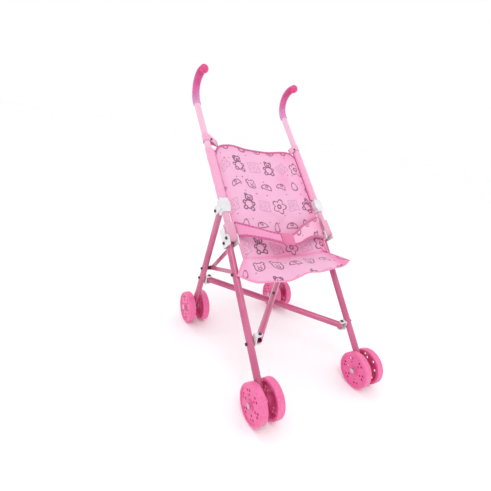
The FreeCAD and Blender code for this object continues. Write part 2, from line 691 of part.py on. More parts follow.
# ---------------------------------------------------------------- cloth, as plain solids
def seat_sling():
    """Back panel along the handle tubes and a short pan in front of the crease."""
    body = new_body("seat_sling", frame(PIVOT, UP_HANDLE, BEHIND_HANDLE))
    pad_box(body, ("-seat_low", "seat_top"), ("-cloth_solid / 2", "cloth_solid / 2"), "2 * seat_half")
    pan = new_sketch(body)
    turn = 180 + size("pan_drop")
    crease = Vec(-size("seat_low"), 0, 0)
    pan.AttachmentOffset = FreeCAD.Placement(crease, FreeCAD.Rotation(Vec(0, 0, 1), -turn))
    add_box(pan, "-cloth_solid / 2", "pan_long", "-cloth_solid / 2", "cloth_solid / 2")
    pad(body, pan, "2 * seat_half")
    return body


def belt(label, side, layer, past_middle):
    """One half of the waist belt: a flat band bent forwards in an arc."""
    radius = size("belt_radius") + layer * size("belt_layer")
    half_chord = size("seat_half") - size("belt_inset")
    reach = math.asin(half_chord / radius)
    over = math.asin(past_middle / radius)
    depth = size("belt_radius") * math.cos(math.asin(half_chord / size("belt_radius"))) - size("belt_forward")
    centre = PIVOT + UP_HANDLE * size("belt_up") + BEHIND_HANDLE * depth
    # Body frame: X from the arc's centre to the band's first end, Z along the handle tubes.
    first = -over if side > 0 else -reach
    outwards = BEHIND_HANDLE * -math.cos(first) + Vec(math.sin(first), 0, 0)
    body = new_body(label, frame(centre, outwards, UP_HANDLE.cross(outwards)))
    band = new_sketch(body, "XZ_Plane")
    inner = f"belt_radius + {layer} * belt_layer"
    add_box(band, inner, inner + " + belt_thick", "-belt_wide / 2", "belt_wide / 2")
    revolve(body, band, f"{math.degrees(reach + over):.6f}")
    return body


seat_sling()
belt("right_belt", -1, 0, size("right_past"))
belt("left_belt", 1, 1, size("left_past"))

# ---------------------------------------------------------------- check and write
doc.recompute()
for thing in doc.Objects:
    if "Invalid" in thing.State or "Error" in thing.State:
        raise RuntimeError(f"{thing.Label}: {thing.State}")
for thing in made:
    shape = thing.Shape
    if shape.isNull() or not shape.isValid() or not shape.Solids:
        raise RuntimeError(f"{thing.Label} has no valid solid")
for thing in made:
    thing.Shape.exportStep(f"parts/{thing.Label}.step")
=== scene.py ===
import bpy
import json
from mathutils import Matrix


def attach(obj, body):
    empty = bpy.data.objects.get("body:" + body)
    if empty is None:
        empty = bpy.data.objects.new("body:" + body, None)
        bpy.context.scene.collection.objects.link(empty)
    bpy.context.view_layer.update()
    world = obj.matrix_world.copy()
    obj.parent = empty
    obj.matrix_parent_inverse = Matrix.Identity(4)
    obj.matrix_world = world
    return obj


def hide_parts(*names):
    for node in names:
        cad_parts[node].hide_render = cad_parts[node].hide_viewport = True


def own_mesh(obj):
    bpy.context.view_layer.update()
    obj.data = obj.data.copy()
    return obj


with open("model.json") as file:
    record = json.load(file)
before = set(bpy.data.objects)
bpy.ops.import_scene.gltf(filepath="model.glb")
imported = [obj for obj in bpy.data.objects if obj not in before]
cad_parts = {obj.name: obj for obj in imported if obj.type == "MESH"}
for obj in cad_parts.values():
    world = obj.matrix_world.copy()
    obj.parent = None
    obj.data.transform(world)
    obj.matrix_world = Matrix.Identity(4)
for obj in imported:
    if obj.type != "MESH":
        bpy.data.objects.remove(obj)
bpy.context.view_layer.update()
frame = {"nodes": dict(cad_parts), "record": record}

import json
import math

import bmesh
import bpy
import numpy as np
from mathutils import Matrix, Vector

# ------------------------------------------------------------------ camera, floor and light
# The stroller stands on a plain pale floor under three soft lamps, seen from its front right corner,
# a little below the top of the handles.
forward = Vector((0.52190, 0.79545, -0.30802)).normalized()
level_right = Vector((0.83610, -0.54857, 0)).normalized()
down = forward.cross(level_right)
roll = math.radians(-9.183)
right = math.cos(roll) * level_right + math.sin(roll) * down
upward = math.sin(roll) * level_right - math.cos(roll) * down

camera = bpy.data.objects.new("camera", bpy.data.cameras.new("camera"))
camera.data.lens = 25.49
camera.data.sensor_width = 36
camera.data.shift_x = -0.0232
camera.data.shift_y = -0.0259
camera.data.clip_start = 0.01
turn = Matrix((right, upward, -forward)).transposed()
camera.matrix_world = Matrix.Translation((-0.41604, -0.56084, 0.47254)) @ turn.to_4x4()
bpy.context.scene.collection.objects.link(camera)
bpy.context.scene.camera = camera

floor_mesh = bpy.data.meshes.new("floor")
floor_corners = [(x, y, -0.0005) for x, y in ((-9, -9), (9, -9), (9, 9), (-9, 9))]
floor_mesh.from_pydata(floor_corners, [], [(0, 1, 2, 3)])
floor = bpy.data.objects.new("floor", floor_mesh)
bpy.context.scene.collection.objects.link(floor)
floor_paint = bpy.data.materials.new("pale_floor")
floor_paint.use_nodes = True
floor_paint.node_tree.nodes["Principled BSDF"].inputs["Base Color"].default_value = (1, 1, 1, 1)
floor_paint.node_tree.nodes["Principled BSDF"].inputs["Roughness"].default_value = 0.7
floor_mesh.materials.append(floor_paint)

sky = bpy.data.worlds.new("studio")
sky.use_nodes = True
sky.node_tree.nodes["Background"].inputs["Color"].default_value = (1, 1, 1, 1)
sky.node_tree.nodes["Background"].inputs["Strength"].default_value = 1.0
bpy.context.scene.world = sky
bpy.context.scene.view_settings.view_transform = "Standard"

for lamp_name, place, size, power in (
    ("key_lamp", (-0.5, -1.1, 1.9), 0.9, 7),
    ("fill_lamp", (1.6, -0.7, 1.2), 1.3, 2),
    ("back_lamp", (-0.6, 1.5, 1.6), 1.0, 4),
):
    lamp = bpy.data.objects.new(lamp_name, bpy.data.lights.new(lamp_name, "AREA"))
    lamp.data.shape = "DISK"
    lamp.data.size = size
    lamp.data.energy = power
    lamp.location = place
    lamp.rotation_euler = (Vector((0, 0, 0.28)) - Vector(place)).to_track_quat("-Z", "Y").to_euler()
    bpy.context.scene.collection.objects.link(lamp)


# ------------------------------------------------------------------ painted tubes and links
# Thin steel tube, bent at the handles and powder coated in a glossy pink, painted paler towards the top as a
# painted highlight.
# The side links, lock struts and the flattened socket at each handle's foot are pressed strip in the same
# coat.
def wire(tree, source, target):
    """Gives a socket a number, a colour or another node's output."""
    if isinstance(source, bpy.types.NodeSocket):
        tree.links.new(source, target)
    elif isinstance(source, bpy.types.Node):
        tree.links.new(source.outputs[0], target)
    else:
        target.default_value = source


def add(tree, kind, *sources, **settings):
    """Adds a node, sets its properties and fills its sockets in order. None leaves one as it is."""
    node = tree.nodes.new(kind)
    for key, value in settings.items():
        setattr(node, key, value)
    for index, source in enumerate(sources):
        if source is not None:
            wire(tree, source, node.inputs[index])
    return node


def fill(tree, node, **sources):
    """Fills a node's sockets by name, with _ for a space."""
    for label, source in sources.items():
        wire(tree, source, node.inputs[label.replace("_", " ")])
    return node


def calc(tree, operation, *sources):
    return add(tree, "ShaderNodeMath", *sources, operation=operation).outputs[0]


def new_group(name, tree_kind, inputs, outputs):
    """An empty node group, its given sockets and its result's. An input is stated by its usual value,
    or by its kind where it has none."""
    tree = bpy.data.node_groups.new(name, tree_kind)
    for label, value in inputs.items():
        kind = {float: "Float", int: "Int", tuple: "Color"}.get(type(value), value)
        socket = tree.interface.new_socket(label, in_out="INPUT", socket_type="NodeSocket" + kind)
        if kind != value:
            socket.default_value = value
    for label, kind in outputs.items():
        tree.interface.new_socket(label, in_out="OUTPUT", socket_type="NodeSocket" + kind)
    return tree, tree.nodes.new("NodeGroupInput").outputs, tree.nodes.new("NodeGroupOutput").inputs


def mix_colour(tree, share, first, second, blend="MIX"):
    node = add(tree, "ShaderNodeMix", share, data_type="RGBA", blend_type=blend)
    wire(tree, first, node.inputs[6])
    wire(tree, second, node.inputs[7])
    return node.outputs[2]


def mottling():
    """Soft patches of a lighter and a deeper tint, with a fine grain for roughness and bump."""
    tree, given, result = new_group(
        "mottling",
        "ShaderNodeTree",
        {
            "Place": "Vector", "Light Tint": (1, 1, 1, 1), "Deep Tint": (0.5, 0.5, 0.5, 1),
            "Patches Per Metre": 30.0, "Grains Per Metre": 900.0, "Smooth": 0.2, "Dull": 0.35,
        },
        {"Color": "Color", "Roughness": "Float", "Height": "Float"},
    )
    patches = add(tree, "ShaderNodeTexNoise", given["Place"])
    fill(tree, patches, Scale=given["Patches Per Metre"], Detail=3)
    grains = add(tree, "ShaderNodeTexNoise", given["Place"])
    fill(tree, grains, Scale=given["Grains Per Metre"], Detail=2)
    spread = add(tree, "ShaderNodeMapRange", patches.outputs[0], 0.3, 0.7, 0.0, 1.0).outputs[0]
    tint = mix_colour(tree, spread, given["Light Tint"], given["Deep Tint"])
    mixed = calc(tree, "MULTIPLY_ADD", grains.outputs[0], 0.6, calc(tree, "MULTIPLY", spread, 0.4))
    rough = add(tree, "ShaderNodeMapRange", mixed, 0.2, 0.8, given["Smooth"], given["Dull"])
    for value, label in ((tint, "Color"), (rough, "Roughness"), (grains, "Height")):
        wire(tree, value, result[label])
    return tree


MOTTLING = mottling()


def new_material(name, **constants):
    """A material with its plain numbers set on the shader's own sockets."""
    material = bpy.data.materials.new(name)
    material.use_nodes = True
    shader = material.node_tree.nodes["Principled BSDF"]
    for label, value in constants.items():
        shader.inputs[label.replace("_", " ")].default_value = value
    return material, material.node_tree, shader


def use_group(tree, group, **sources):
    return fill(tree, add(tree, "ShaderNodeGroup", node_tree=group), **sources)


def raise_surface(tree, shader, height, distance, strength=1.0):
    bump = fill(tree, add(tree, "ShaderNodeBump"), Distance=distance, Strength=strength, Height=height)
    wire(tree, bump, shader.inputs["Normal"])


def object_place(tree):
    return tree.nodes.new("ShaderNodeTexCoord").outputs["Object"]


def mottled(name, light, deep, smooth, dull, grain=900.0, bump=0.00004, patches=30.0, **constants):
    """Paint or moulded plastic: mottling on the part's own place, with a fine skin texture."""
    material, tree, shader = new_material(name, **constants)
    skin = use_group(
        tree, MOTTLING, Place=object_place(tree), Light_Tint=light, Deep_Tint=deep,
        Patches_Per_Metre=patches, Grains_Per_Metre=grain, Smooth=smooth, Dull=dull,
    )
    fill(tree, shader, Base_Color=skin.outputs["Color"], Roughness=skin.outputs["Roughness"])
    raise_surface(tree, shader, skin.outputs["Height"], bump)
    return material, tree, shader, skin


def tube_paint(name, foot, top):
    """The coat is deep pink; between two heights it is painted paler upwards, a painted highlight for the
    light on the upper tubes.
    """
    material, tree, shader, skin = mottled(
        name, (0.58, 0.115, 0.250, 1), (0.48, 0.070, 0.185, 1), 0.16, 0.30, Coat_Weight=0.55,
        Coat_Roughness=0.08,
    )
    # Painted highlight: the colour is mixed towards a pale pink with height, standing in for the brighter
    # light on the upper tubes.
    height = add(tree, "ShaderNodeSeparateXYZ", object_place(tree)).outputs["Z"]
    high = add(tree, "ShaderNodeMapRange", height, foot, top, 0.0, 0.9).outputs[0]
    painted_highlight_tint = mix_colour(tree, high, skin.outputs["Color"], (0.84, 0.50, 0.66, 1))
    wire(tree, painted_highlight_tint, shader.inputs["Base Color"])
    return material


# Two copies of one paint that differ only in their painted highlight: the handle copy pales from lower down.
LEG_PAINT = tube_paint("leg_paint", 0.22, 0.50)
HANDLE_PAINT = tube_paint("handle_paint", 0.19, 0.33)
SIDES = ("right", "left")


def finish_nodes(material, slot, *names):
    for name in names:
        node = frame["nodes"][name]
        node.data.materials.clear()
        node.data.materials.append(material)


for side in SIDES:
    painted = ("front_leg", "rear_leg", "cross_bar", "side_link", "lock_strut")
    finish_nodes(LEG_PAINT, "tube_paint", *[f"{side}_{part}" for part in painted])
    finish_nodes(HANDLE_PAINT, "tube_paint", f"{side}_handle_tube", f"{side}_pivot_block")

# ------------------------------------------------------------------ white fittings
# Ear brackets, leg clevises, the little yokes of the cross bars and the wheels' spacers: injection
# moulded plastic in milky white, faintly glossy and dulled where hands and screws have rubbed it.
WHITE_PLASTIC = mottled(
    "white_plastic", (0.80, 0.78, 0.79, 1), (0.68, 0.65, 0.68, 1), 0.30, 0.45, grain=1400.0, patches=60.0,
    Subsurface_Weight=0.05,
)[0]
for side in SIDES:
    white = ("ear_bracket", "leg_clevis", "rear_yoke", "front_yoke", "front_spacers", "rear_spacers")
    finish_nodes(WHITE_PLASTIC, "white_plastic", *[f"{side}_{part}" for part in white])

# ------------------------------------------------------------------ axles
# Drawn steel rod, pressed over at both ends into a small head that holds the wheels on.
STEEL = mottled(
    "axle_steel", (0.62, 0.62, 0.63, 1), (0.48, 0.48, 0.50, 1), 0.22, 0.38, grain=2500.0, patches=120.0,
    Metallic=1.0,
)[0]
for side in SIDES:
    finish_nodes(STEEL, "steel", f"{side}_front_axle", f"{side}_rear_axle")

# ------------------------------------------------------------------ screws and their driver recesses
# Blackened pan-head machine screws with lock nuts. Each outer head carries a low dome with a near-black cross
# set a hair proud of it, painted shade in place of a sunk cross recess; it is made once and set on every
# head.
DARK_METAL = mottled(
    "dark_screws", (0.100, 0.080, 0.095, 1), (0.045, 0.036, 0.042, 1), 0.28, 0.45, grain=2600.0,
    patches=300.0, Metallic=0.8,
)[0]
# Painted shade: this near-black material on the raised cross stands in for the shade inside a screw's recess.
RECESS_PAINTED_SHADE = mottled(
    "recess_black", (0.012, 0.011, 0.012, 1), (0.004, 0.004, 0.004, 1), 0.55, 0.75, grain=2600.0,
    patches=300.0,
)[0]
SCREW_NODES = ("handle_screws", "front_leg_screws", "rear_leg_screws", "rear_yoke_pin", "front_yoke_pin")
for side in SIDES:
    finish_nodes(DARK_METAL, "dark_screws", *[f"{side}_{part}" for part in SCREW_NODES])
finish_nodes(DARK_METAL, "dark_screws", "crossing_screw")


def new_piece(name, mesh, body=None):
    piece = bpy.data.objects.new(name, mesh)
    bpy.context.scene.collection.objects.link(piece)
    if body:
        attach(piece, body)
    return piece


def grow(name, tree, base, body, **sizes):
    """Runs a geometry tree on a base mesh once and keeps the result as a plain mesh."""
    holder = new_piece(name + "_base", base)
    modifier = holder.modifiers.new("growth", "NODES")
    modifier.node_group = tree
    for item in tree.interface.items_tree:
        key = item.name.replace(" ", "_")
        if item.item_type == "SOCKET" and item.in_out == "INPUT" and key in sizes:
            modifier[item.identifier] = sizes[key]
    graph = bpy.context.evaluated_depsgraph_get()
    mesh = bpy.data.meshes.new_from_object(holder.evaluated_get(graph), depsgraph=graph)
    bpy.data.objects.remove(holder)
    return new_piece(name, mesh, body)


def long_ball(tree, segments, rings, radius, stretch, finish):
    """A smooth ball, stretched or squeezed along its axis."""
    ball = add(tree, "GeometryNodeMeshUVSphere", segments, rings, radius)
    scale = add(tree, "ShaderNodeCombineXYZ", 1.0, 1.0, stretch)
    shaped = fill(tree, add(tree, "GeometryNodeTransform"), Geometry=ball, Scale=scale)
    return add(tree, "GeometryNodeSetMaterial", add(tree, "GeometryNodeSetShadeSmooth", shaped), None, finish)


def set_on_points(tree, points, shape, way, target):
    """Sets a copy of the shape on every point, with its axis turned along the point's way."""
    turned = fill(tree, add(tree, "FunctionNodeAlignRotationToVector", axis="Z"), Vector=way)
    placed = add(tree, "GeometryNodeInstanceOnPoints")
    fill(tree, placed, Points=points, Instance=shape, Rotation=turned)
    wire(tree, add(tree, "GeometryNodeRealizeInstances", placed), target)


def screw_head_tree():
    """A low dome and a near-black cross, painted shade in place of a sunk recess, on each point, facing along
    the point's own direction.
    """
    tree, given, result = new_group(
        "screw_heads",
        "GeometryNodeTree",
        {
            "Points": "Geometry", "Head Radius": 0.0028, "Dome Height": 0.0007, "Cross Length": 0.0030,
            "Cross Width": 0.0007, "Head Finish": "Material", "Recess Finish": "Material",
        },
        {"Geometry": "Geometry"},
    )
    facing = fill(tree, add(tree, "GeometryNodeInputNamedAttribute", data_type="FLOAT_VECTOR"), Name="facing")
    radius = given["Head Radius"]
    squeeze = calc(tree, "DIVIDE", given["Dome Height"], radius)
    dome = long_ball(tree, 16, 8, radius, squeeze, given["Head Finish"])
    long, wide = given["Cross Length"], given["Cross Width"]
    deep = calc(tree, "MULTIPLY", given["Dome Height"], 2.08)
    arms = tree.nodes.new("GeometryNodeJoinGeometry")
    for arm in ((long, wide), (wide, long)):
        box = add(tree, "GeometryNodeMeshCube", add(tree, "ShaderNodeCombineXYZ", *arm, deep))
        wire(tree, box, arms.inputs[0])
    cross = add(tree, "GeometryNodeSetMaterial", arms, None, given["Recess Finish"])
    head = tree.nodes.new("GeometryNodeJoinGeometry")
    wire(tree, dome, head.inputs[0])
    wire(tree, cross, head.inputs[0])
    set_on_points(tree, given["Points"], head, facing, result[0])
    return tree


SCREW_HEADS = screw_head_tree()


def islands(mesh):
    """The separate shells of a loose triangle mesh, as lists of corner places."""
    corners = [tuple(round(c * 1e5) for c in vertex.co) for vertex in mesh.vertices]
    parent = {key: key for key in corners}

    def root(key):
        while parent[key] != key:
            parent[key] = parent[parent[key]]
            key = parent[key]
        return key

    for face in mesh.polygons:
        first = root(corners[face.vertices[0]])
        for index in face.vertices[1:]:
            parent[root(corners[index])] = first
    shells = {}
    for vertex, key in zip(mesh.vertices, corners):
        shells.setdefault(root(key), []).append(np.array(vertex.co))
    return [np.array(shell) for shell in shells.values()]


def outer_heads(node_name, side_sign):
    """The middle of each screw's outer face, with the way it looks."""
    found = []
    for shell in islands(frame["nodes"][node_name].data):
        edge = shell[:, 0].max() if side_sign > 0 else shell[:, 0].min()
        face = shell[np.abs(shell[:, 0] - edge) < 1e-4]
        middle = (face.min(axis=0) + face.max(axis=0)) / 2
        found.append((middle, (side_sign, 0.0, 0.0)))
    return found


def points_facing(name, places):
    mesh = bpy.data.meshes.new(name)
    mesh.from_pydata([tuple(place) for place, _ in places], [], [])
    facing = mesh.attributes.new("facing", "FLOAT_VECTOR", "POINT")
    facing.data.foreach_set("vector", [c for _, way in places for c in way])
    return mesh


SIGN = {"right": -1.0, "left": 1.0}
body_of_node = {"handle_screws": "handle", "front_leg_screws": "front_leg", "rear_leg_screws": "rear_leg"}
for side in SIDES:
    for part, body in body_of_node.items():
        heads = outer_heads(f"{side}_{part}", SIGN[side])
        domes = grow(
            f"{side}_{part}_domes", SCREW_HEADS, points_facing("heads", heads), f"{side}_{body}",
            Head_Finish=DARK_METAL, Recess_Finish=RECESS_PAINTED_SHADE,
        )

# ------------------------------------------------------------------ twin wheels
# Each wheel is one moulding in hot pink plastic: a broad flat tread with rounded edges, a plain web
# with groups of round holes, and a boss that turns on the axle. Floors scuff the tread's crown.
joint_place = {}
for joint in frame["record"]["behaviour"]["joints"]:
    if "pos_m" in joint:
        joint_place[joint["name"]] = Vector(joint["pos_m"])


def tread_scuff():
    """How near a place is to the tread's crown, broken up by small scratches. Zero at the web."""
    tree, given, result = new_group(
        "tread_scuff",
        "ShaderNodeTree",
        {
            "Place": "Vector", "Axle": "Vector", "Inner Radius": 0.0325, "Tread Radius": 0.035,
        },
        {"Mask": "Float"},
    )
    apart = add(tree, "ShaderNodeVectorMath", given["Place"], given["Axle"], operation="SUBTRACT")
    flat = add(tree, "ShaderNodeVectorMath", apart, (0, 1, 1), operation="MULTIPLY")
    distance = add(tree, "ShaderNodeVectorMath", flat, operation="LENGTH").outputs["Value"]
    near = add(
        tree, "ShaderNodeMapRange", distance, given["Inner Radius"], given["Tread Radius"], 0.0, 1.0,
    ).outputs[0]
    scratches = fill(tree, add(tree, "ShaderNodeTexNoise", given["Place"]), Scale=420, Detail=5)
    broken = add(tree, "ShaderNodeMapRange", scratches.outputs[0], 0.42, 0.62, 0.0, 1.0).outputs[0]
    wire(tree, calc(tree, "MULTIPLY", near, broken), result["Mask"])
    return tree


TREAD_SCUFF = tread_scuff()


def wheel_plastic(where, axle):
    material, tree, shader, skin = mottled(
        f"{where}_wheel_plastic", (0.84, 0.135, 0.36, 1), (0.76, 0.10, 0.30, 1), 0.26, 0.38, grain=1600.0,
        patches=45.0, Subsurface_Weight=0.04,
    )
    worn = use_group(tree, TREAD_SCUFF, Place=object_place(tree), Axle=tuple(axle)).outputs["Mask"]
    share = calc(tree, "MULTIPLY", worn, 0.30)
    scuffed = mix_colour(tree, share, skin.outputs["Color"], (0.80, 0.36, 0.48, 1))
    rougher = calc(tree, "MULTIPLY_ADD", worn, 0.2, skin.outputs["Roughness"])
    fill(tree, shader, Base_Color=scuffed, Roughness=rougher)
    return material


for where in ("front", "rear"):
    plastic = wheel_plastic(where, joint_place[f"right_{where}_outer_spin"] * Vector((0, 1, 1)))
    for side in SIDES:
        finish_nodes(plastic, "wheel_plastic", f"{side}_{where}_outer_wheel", f"{side}_{where}_inner_wheel")

# ------------------------------------------------------------------ handle grips
# Ribbed soft vinyl pushed over the hooked end of each tube, dark rose at the tip and fading to a
# light violet pink by the straight tube, with a ball-shaped plug in its end.
LEAN = math.radians(46.6)
UP = Vector((0, math.sin(LEAN), math.cos(LEAN)))
BEHIND = Vector((0, math.cos(LEAN), -math.sin(LEAN)))
PIVOT = joint_place["fold"] * Vector((0, 1, 1))
TRACK = abs(joint_place["fold"].x)
HOOK_RADIUS = 0.040
HOOK_START = 0.333
HOOK_TURN = math.radians(131)


def grip_vinyl():
    material, tree, shader = new_material(
        "grip_vinyl", Roughness=0.42, Sheen_Weight=0.12, Sheen_Roughness=0.4, Subsurface_Weight=0.08
    )
    along = add(tree, "ShaderNodeAttribute", attribute_name="along")
    fade = tree.nodes.new("ShaderNodeValToRGB")
    fade.color_ramp.elements[0].color = (0.72, 0.33, 0.62, 1)
    fade.color_ramp.elements[1].color = (0.66, 0.035, 0.20, 1)
    middle = fade.color_ramp.elements.new(0.45)
    middle.color = (0.74, 0.13, 0.38, 1)
    wire(tree, along.outputs["Fac"], fade.inputs[0])
    skin = use_group(
        tree, MOTTLING, Place=object_place(tree), Light_Tint=(1, 1, 1, 1),
        Deep_Tint=(0.80, 0.74, 0.80, 1), Patches_Per_Metre=120.0, Grains_Per_Metre=2200.0, Smooth=0.34,
        Dull=0.55,
    )
    tinted = mix_colour(tree, 1.0, fade, skin.outputs["Color"], "MULTIPLY")
    fill(tree, shader, Base_Color=tinted, Roughness=skin.outputs["Roughness"])
    raise_surface(tree, shader, skin.outputs["Height"], 0.00008)
    return material


GRIP_VINYL = grip_vinyl()


def ribbed_sleeve_tree():
    """A tube round the base curve whose radius rises and falls once for every rib."""
    tree, given, result = new_group(
        "ribbed_sleeve",
        "GeometryNodeTree",
        {
            "Path": "Geometry", "Ribs": 27, "Outer Radius": 0.0086, "Rib Height": 0.0011,
            "Finish": "Material",
        },
        {"Geometry": "Geometry"},
    )
    curve = add(tree, "GeometryNodeMeshToCurve", given["Path"])
    steps = calc(tree, "MULTIPLY_ADD", given["Ribs"], 6.0, 1.0)
    even = fill(tree, add(tree, "GeometryNodeResampleCurve"), Curve=curve, Count=steps)
    along = tree.nodes.new("GeometryNodeSplineParameter").outputs["Factor"]
    phase = calc(tree, "MULTIPLY", calc(tree, "MULTIPLY", along, given["Ribs"]), 2 * math.pi)
    wave = calc(tree, "MULTIPLY_ADD", calc(tree, "COSINE", phase), -0.5, 0.5)
    swell = calc(tree, "POWER", wave, 0.6)
    groove = calc(tree, "MULTIPLY", calc(tree, "SUBTRACT", 1.0, swell), given["Rib Height"])
    radius = calc(tree, "SUBTRACT", given["Outer Radius"], groove)
    kept = add(tree, "GeometryNodeStoreNamedAttribute", domain="POINT")
    fill(tree, kept, Geometry=even, Name="along", Value=along)
    ring = fill(tree, add(tree, "GeometryNodeCurvePrimitiveCircle"), Resolution=28, Radius=1.0)
    tube = add(tree, "GeometryNodeCurveToMesh")
    fill(tree, tube, Curve=kept, Profile_Curve=ring, Scale=radius, Fill_Caps=True)
    smooth = add(tree, "GeometryNodeSetShadeSmooth", tube)
    finished = add(tree, "GeometryNodeSetMaterial", smooth, None, given["Finish"])
    wire(tree, add(tree, "GeometryNodeRealizeInstances", finished), result[0])
    return tree


RIBBED_SLEEVE = ribbed_sleeve_tree()


def line_mesh(name, points):
    mesh = bpy.data.meshes.new(name)
    mesh.from_pydata([tuple(p) for p in points], [(i, i + 1) for i in range(len(points) - 1)], [])
    return mesh


def hook_path(side):
    """From the grip's lower end on the straight tube round the hook to the plug."""
    start = PIVOT + Vector((SIGN[side] * TRACK, 0, 0)) + UP * HOOK_START
    middle = start - BEHIND * HOOK_RADIUS
    points = [start - UP * 0.006, start - UP * 0.003]
    for step in range(65):
        angle = HOOK_TURN * step / 64
        points.append(middle + HOOK_RADIUS * (math.cos(angle) * BEHIND + math.sin(angle) * UP))
    return points


for side in SIDES:
    grip = grow(
        f"{side}_ribbed_grip", RIBBED_SLEEVE, line_mesh("hook", hook_path(side)), f"{side}_handle",
        Finish=GRIP_VINYL,
    )
    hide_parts(f"{side}_grip")

TIP_PLASTIC = mottled(
    "tip_plastic", (0.74, 0.05, 0.24, 1), (0.62, 0.035, 0.19, 1), 0.22, 0.36, grain=1500.0, patches=90.0,
    Coat_Weight=0.2,
)[0]
finish_nodes(TIP_PLASTIC, "grip_plastic", "right_grip_tip", "left_grip_tip")

# ------------------------------------------------------------------ printed seat cloth
# One panel of thin pale pink polyester satin with a printed nursery pattern. It hangs between the two
# handle tubes, folds forward at a sewn crease and ends in a short pan with a bound, sagging hem.
def cell_grid(tree, place, cell_wide, cell_high, shift):
    """Splits the cloth into staggered cells. Gives the place inside a cell, -0.5 to 0.5, and its number."""
    parts = add(tree, "ShaderNodeSeparateXYZ", place)
    row_place = calc(tree, "DIVIDE", parts.outputs["Y"], cell_high)
    row = calc(tree, "FLOOR", row_place)
    stagger = calc(tree, "MULTIPLY", calc(tree, "MODULO", row, 2.0), 0.5)
    column_place = calc(tree, "ADD", calc(tree, "DIVIDE", parts.outputs["X"], cell_wide), stagger)
    column_place = calc(tree, "ADD", column_place, shift)
    column = calc(tree, "FLOOR", column_place)
    inside_x = calc(tree, "SUBTRACT", calc(tree, "SUBTRACT", column_place, column), 0.5)
    inside_y = calc(tree, "SUBTRACT", calc(tree, "SUBTRACT", row_place, row), 0.5)
    number = add(tree, "ShaderNodeCombineXYZ", column, row, shift)
    return inside_x, inside_y, number.outputs[0]


def from_circle(tree, x, y, centre_x, centre_y, radius, tall=1.0):
    """The distance from a circle's line, negative inside it."""
    across = calc(tree, "SUBTRACT", x, centre_x)
    up = calc(tree, "DIVIDE", calc(tree, "SUBTRACT", y, centre_y), tall)
    squares = calc(tree, "MULTIPLY_ADD", across, across, calc(tree, "MULTIPLY", up, up))
    return calc(tree, "SUBTRACT", calc(tree, "SQRT", squares), radius)


def nearest(tree, *distances):
    least = distances[0]
    for distance in distances[1:]:
        least = calc(tree, "MINIMUM", least, distance)
    return least


def outline(tree, distance):
    return calc(tree, "ABSOLUTE", distance)


def sitting_bear(tree, x, y):
    ears = [from_circle(tree, x, y, way * 0.125, 0.335, 0.060) for way in (-1, 1)]
    head = from_circle(tree, x, y, 0.0, 0.21, 0.165, 0.88)
    body = from_circle(tree, x, y, 0.0, -0.12, 0.195, 1.05)
    feet = [from_circle(tree, x, y, way * 0.17, -0.29, 0.085) for way in (-1, 1)]
    arms = [from_circle(tree, x, y, way * 0.215, -0.02, 0.070) for way in (-1, 1)]
    eyes = [from_circle(tree, x, y, way * 0.055, 0.235, 0.004) for way in (-1, 1)]
    muzzle = outline(tree, from_circle(tree, x, y, 0.0, 0.15, 0.055, 0.8))
    whole = nearest(tree, head, body, *ears, *feet, *arms)
    collar = outline(tree, head)
    return nearest(tree, outline(tree, whole), collar, muzzle, *eyes, *[outline(tree, foot) for foot in feet])


def five_petals(tree, x, y, reach):
    angle = calc(tree, "ARCTAN2", y, x)
    wave = calc(tree, "ABSOLUTE", calc(tree, "COSINE", calc(tree, "MULTIPLY", angle, 2.5)))
    edge = calc(tree, "MULTIPLY_ADD", wave, reach * 0.45, reach * 0.62)
    centre = from_circle(tree, x, y, 0.0, 0.0, 0.0)
    petals = outline(tree, calc(tree, "SUBTRACT", centre, edge))
    return nearest(tree, petals, outline(tree, calc(tree, "SUBTRACT", centre, reach * 0.26)))


def framed_flower(tree, x, y):
    tilt_x = calc(tree, "MULTIPLY_ADD", y, 0.16, x)
    tilt_y = calc(tree, "MULTIPLY_ADD", x, -0.16, y)
    across = calc(tree, "ABSOLUTE", tilt_x)
    up = calc(tree, "ABSOLUTE", tilt_y)
    square = outline(tree, calc(tree, "SUBTRACT", calc(tree, "MAXIMUM", across, up), 0.33))
    return nearest(tree, square, five_petals(tree, x, y, 0.24))


def dome_hat(tree, x, y):
    """A half round cap with a button on it."""
    round_cap = from_circle(tree, x, y, 0.0, -0.14, 0.32, 0.95)
    cap = calc(tree, "MAXIMUM", round_cap, calc(tree, "SUBTRACT", -0.14, y))
    button = from_circle(tree, x, y, 0.0, 0.06, 0.07)
    return nearest(tree, outline(tree, cap), outline(tree, button))


def bear_head(tree, x, y):
    ears = [from_circle(tree, x, y, way * 0.20, 0.20, 0.095) for way in (-1, 1)]
    head = from_circle(tree, x, y, 0.0, 0.0, 0.27, 0.9)
    eyes = [from_circle(tree, x, y, way * 0.09, 0.05, 0.006) for way in (-1, 1)]
    muzzle = outline(tree, from_circle(tree, x, y, 0.0, -0.09, 0.09, 0.75))
    return nearest(tree, outline(tree, nearest(tree, head, *ears)), muzzle, *eyes)


def rain_drop(tree, x, y):
    """A circle that narrows upwards to a point."""
    narrowing = calc(tree, "MULTIPLY_ADD", y, 1.1, 1.0)
    across = calc(tree, "MULTIPLY", x, calc(tree, "MAXIMUM", narrowing, 0.5))
    return outline(tree, from_circle(tree, across, y, 0.0, 0.0, 0.17, 1.5))


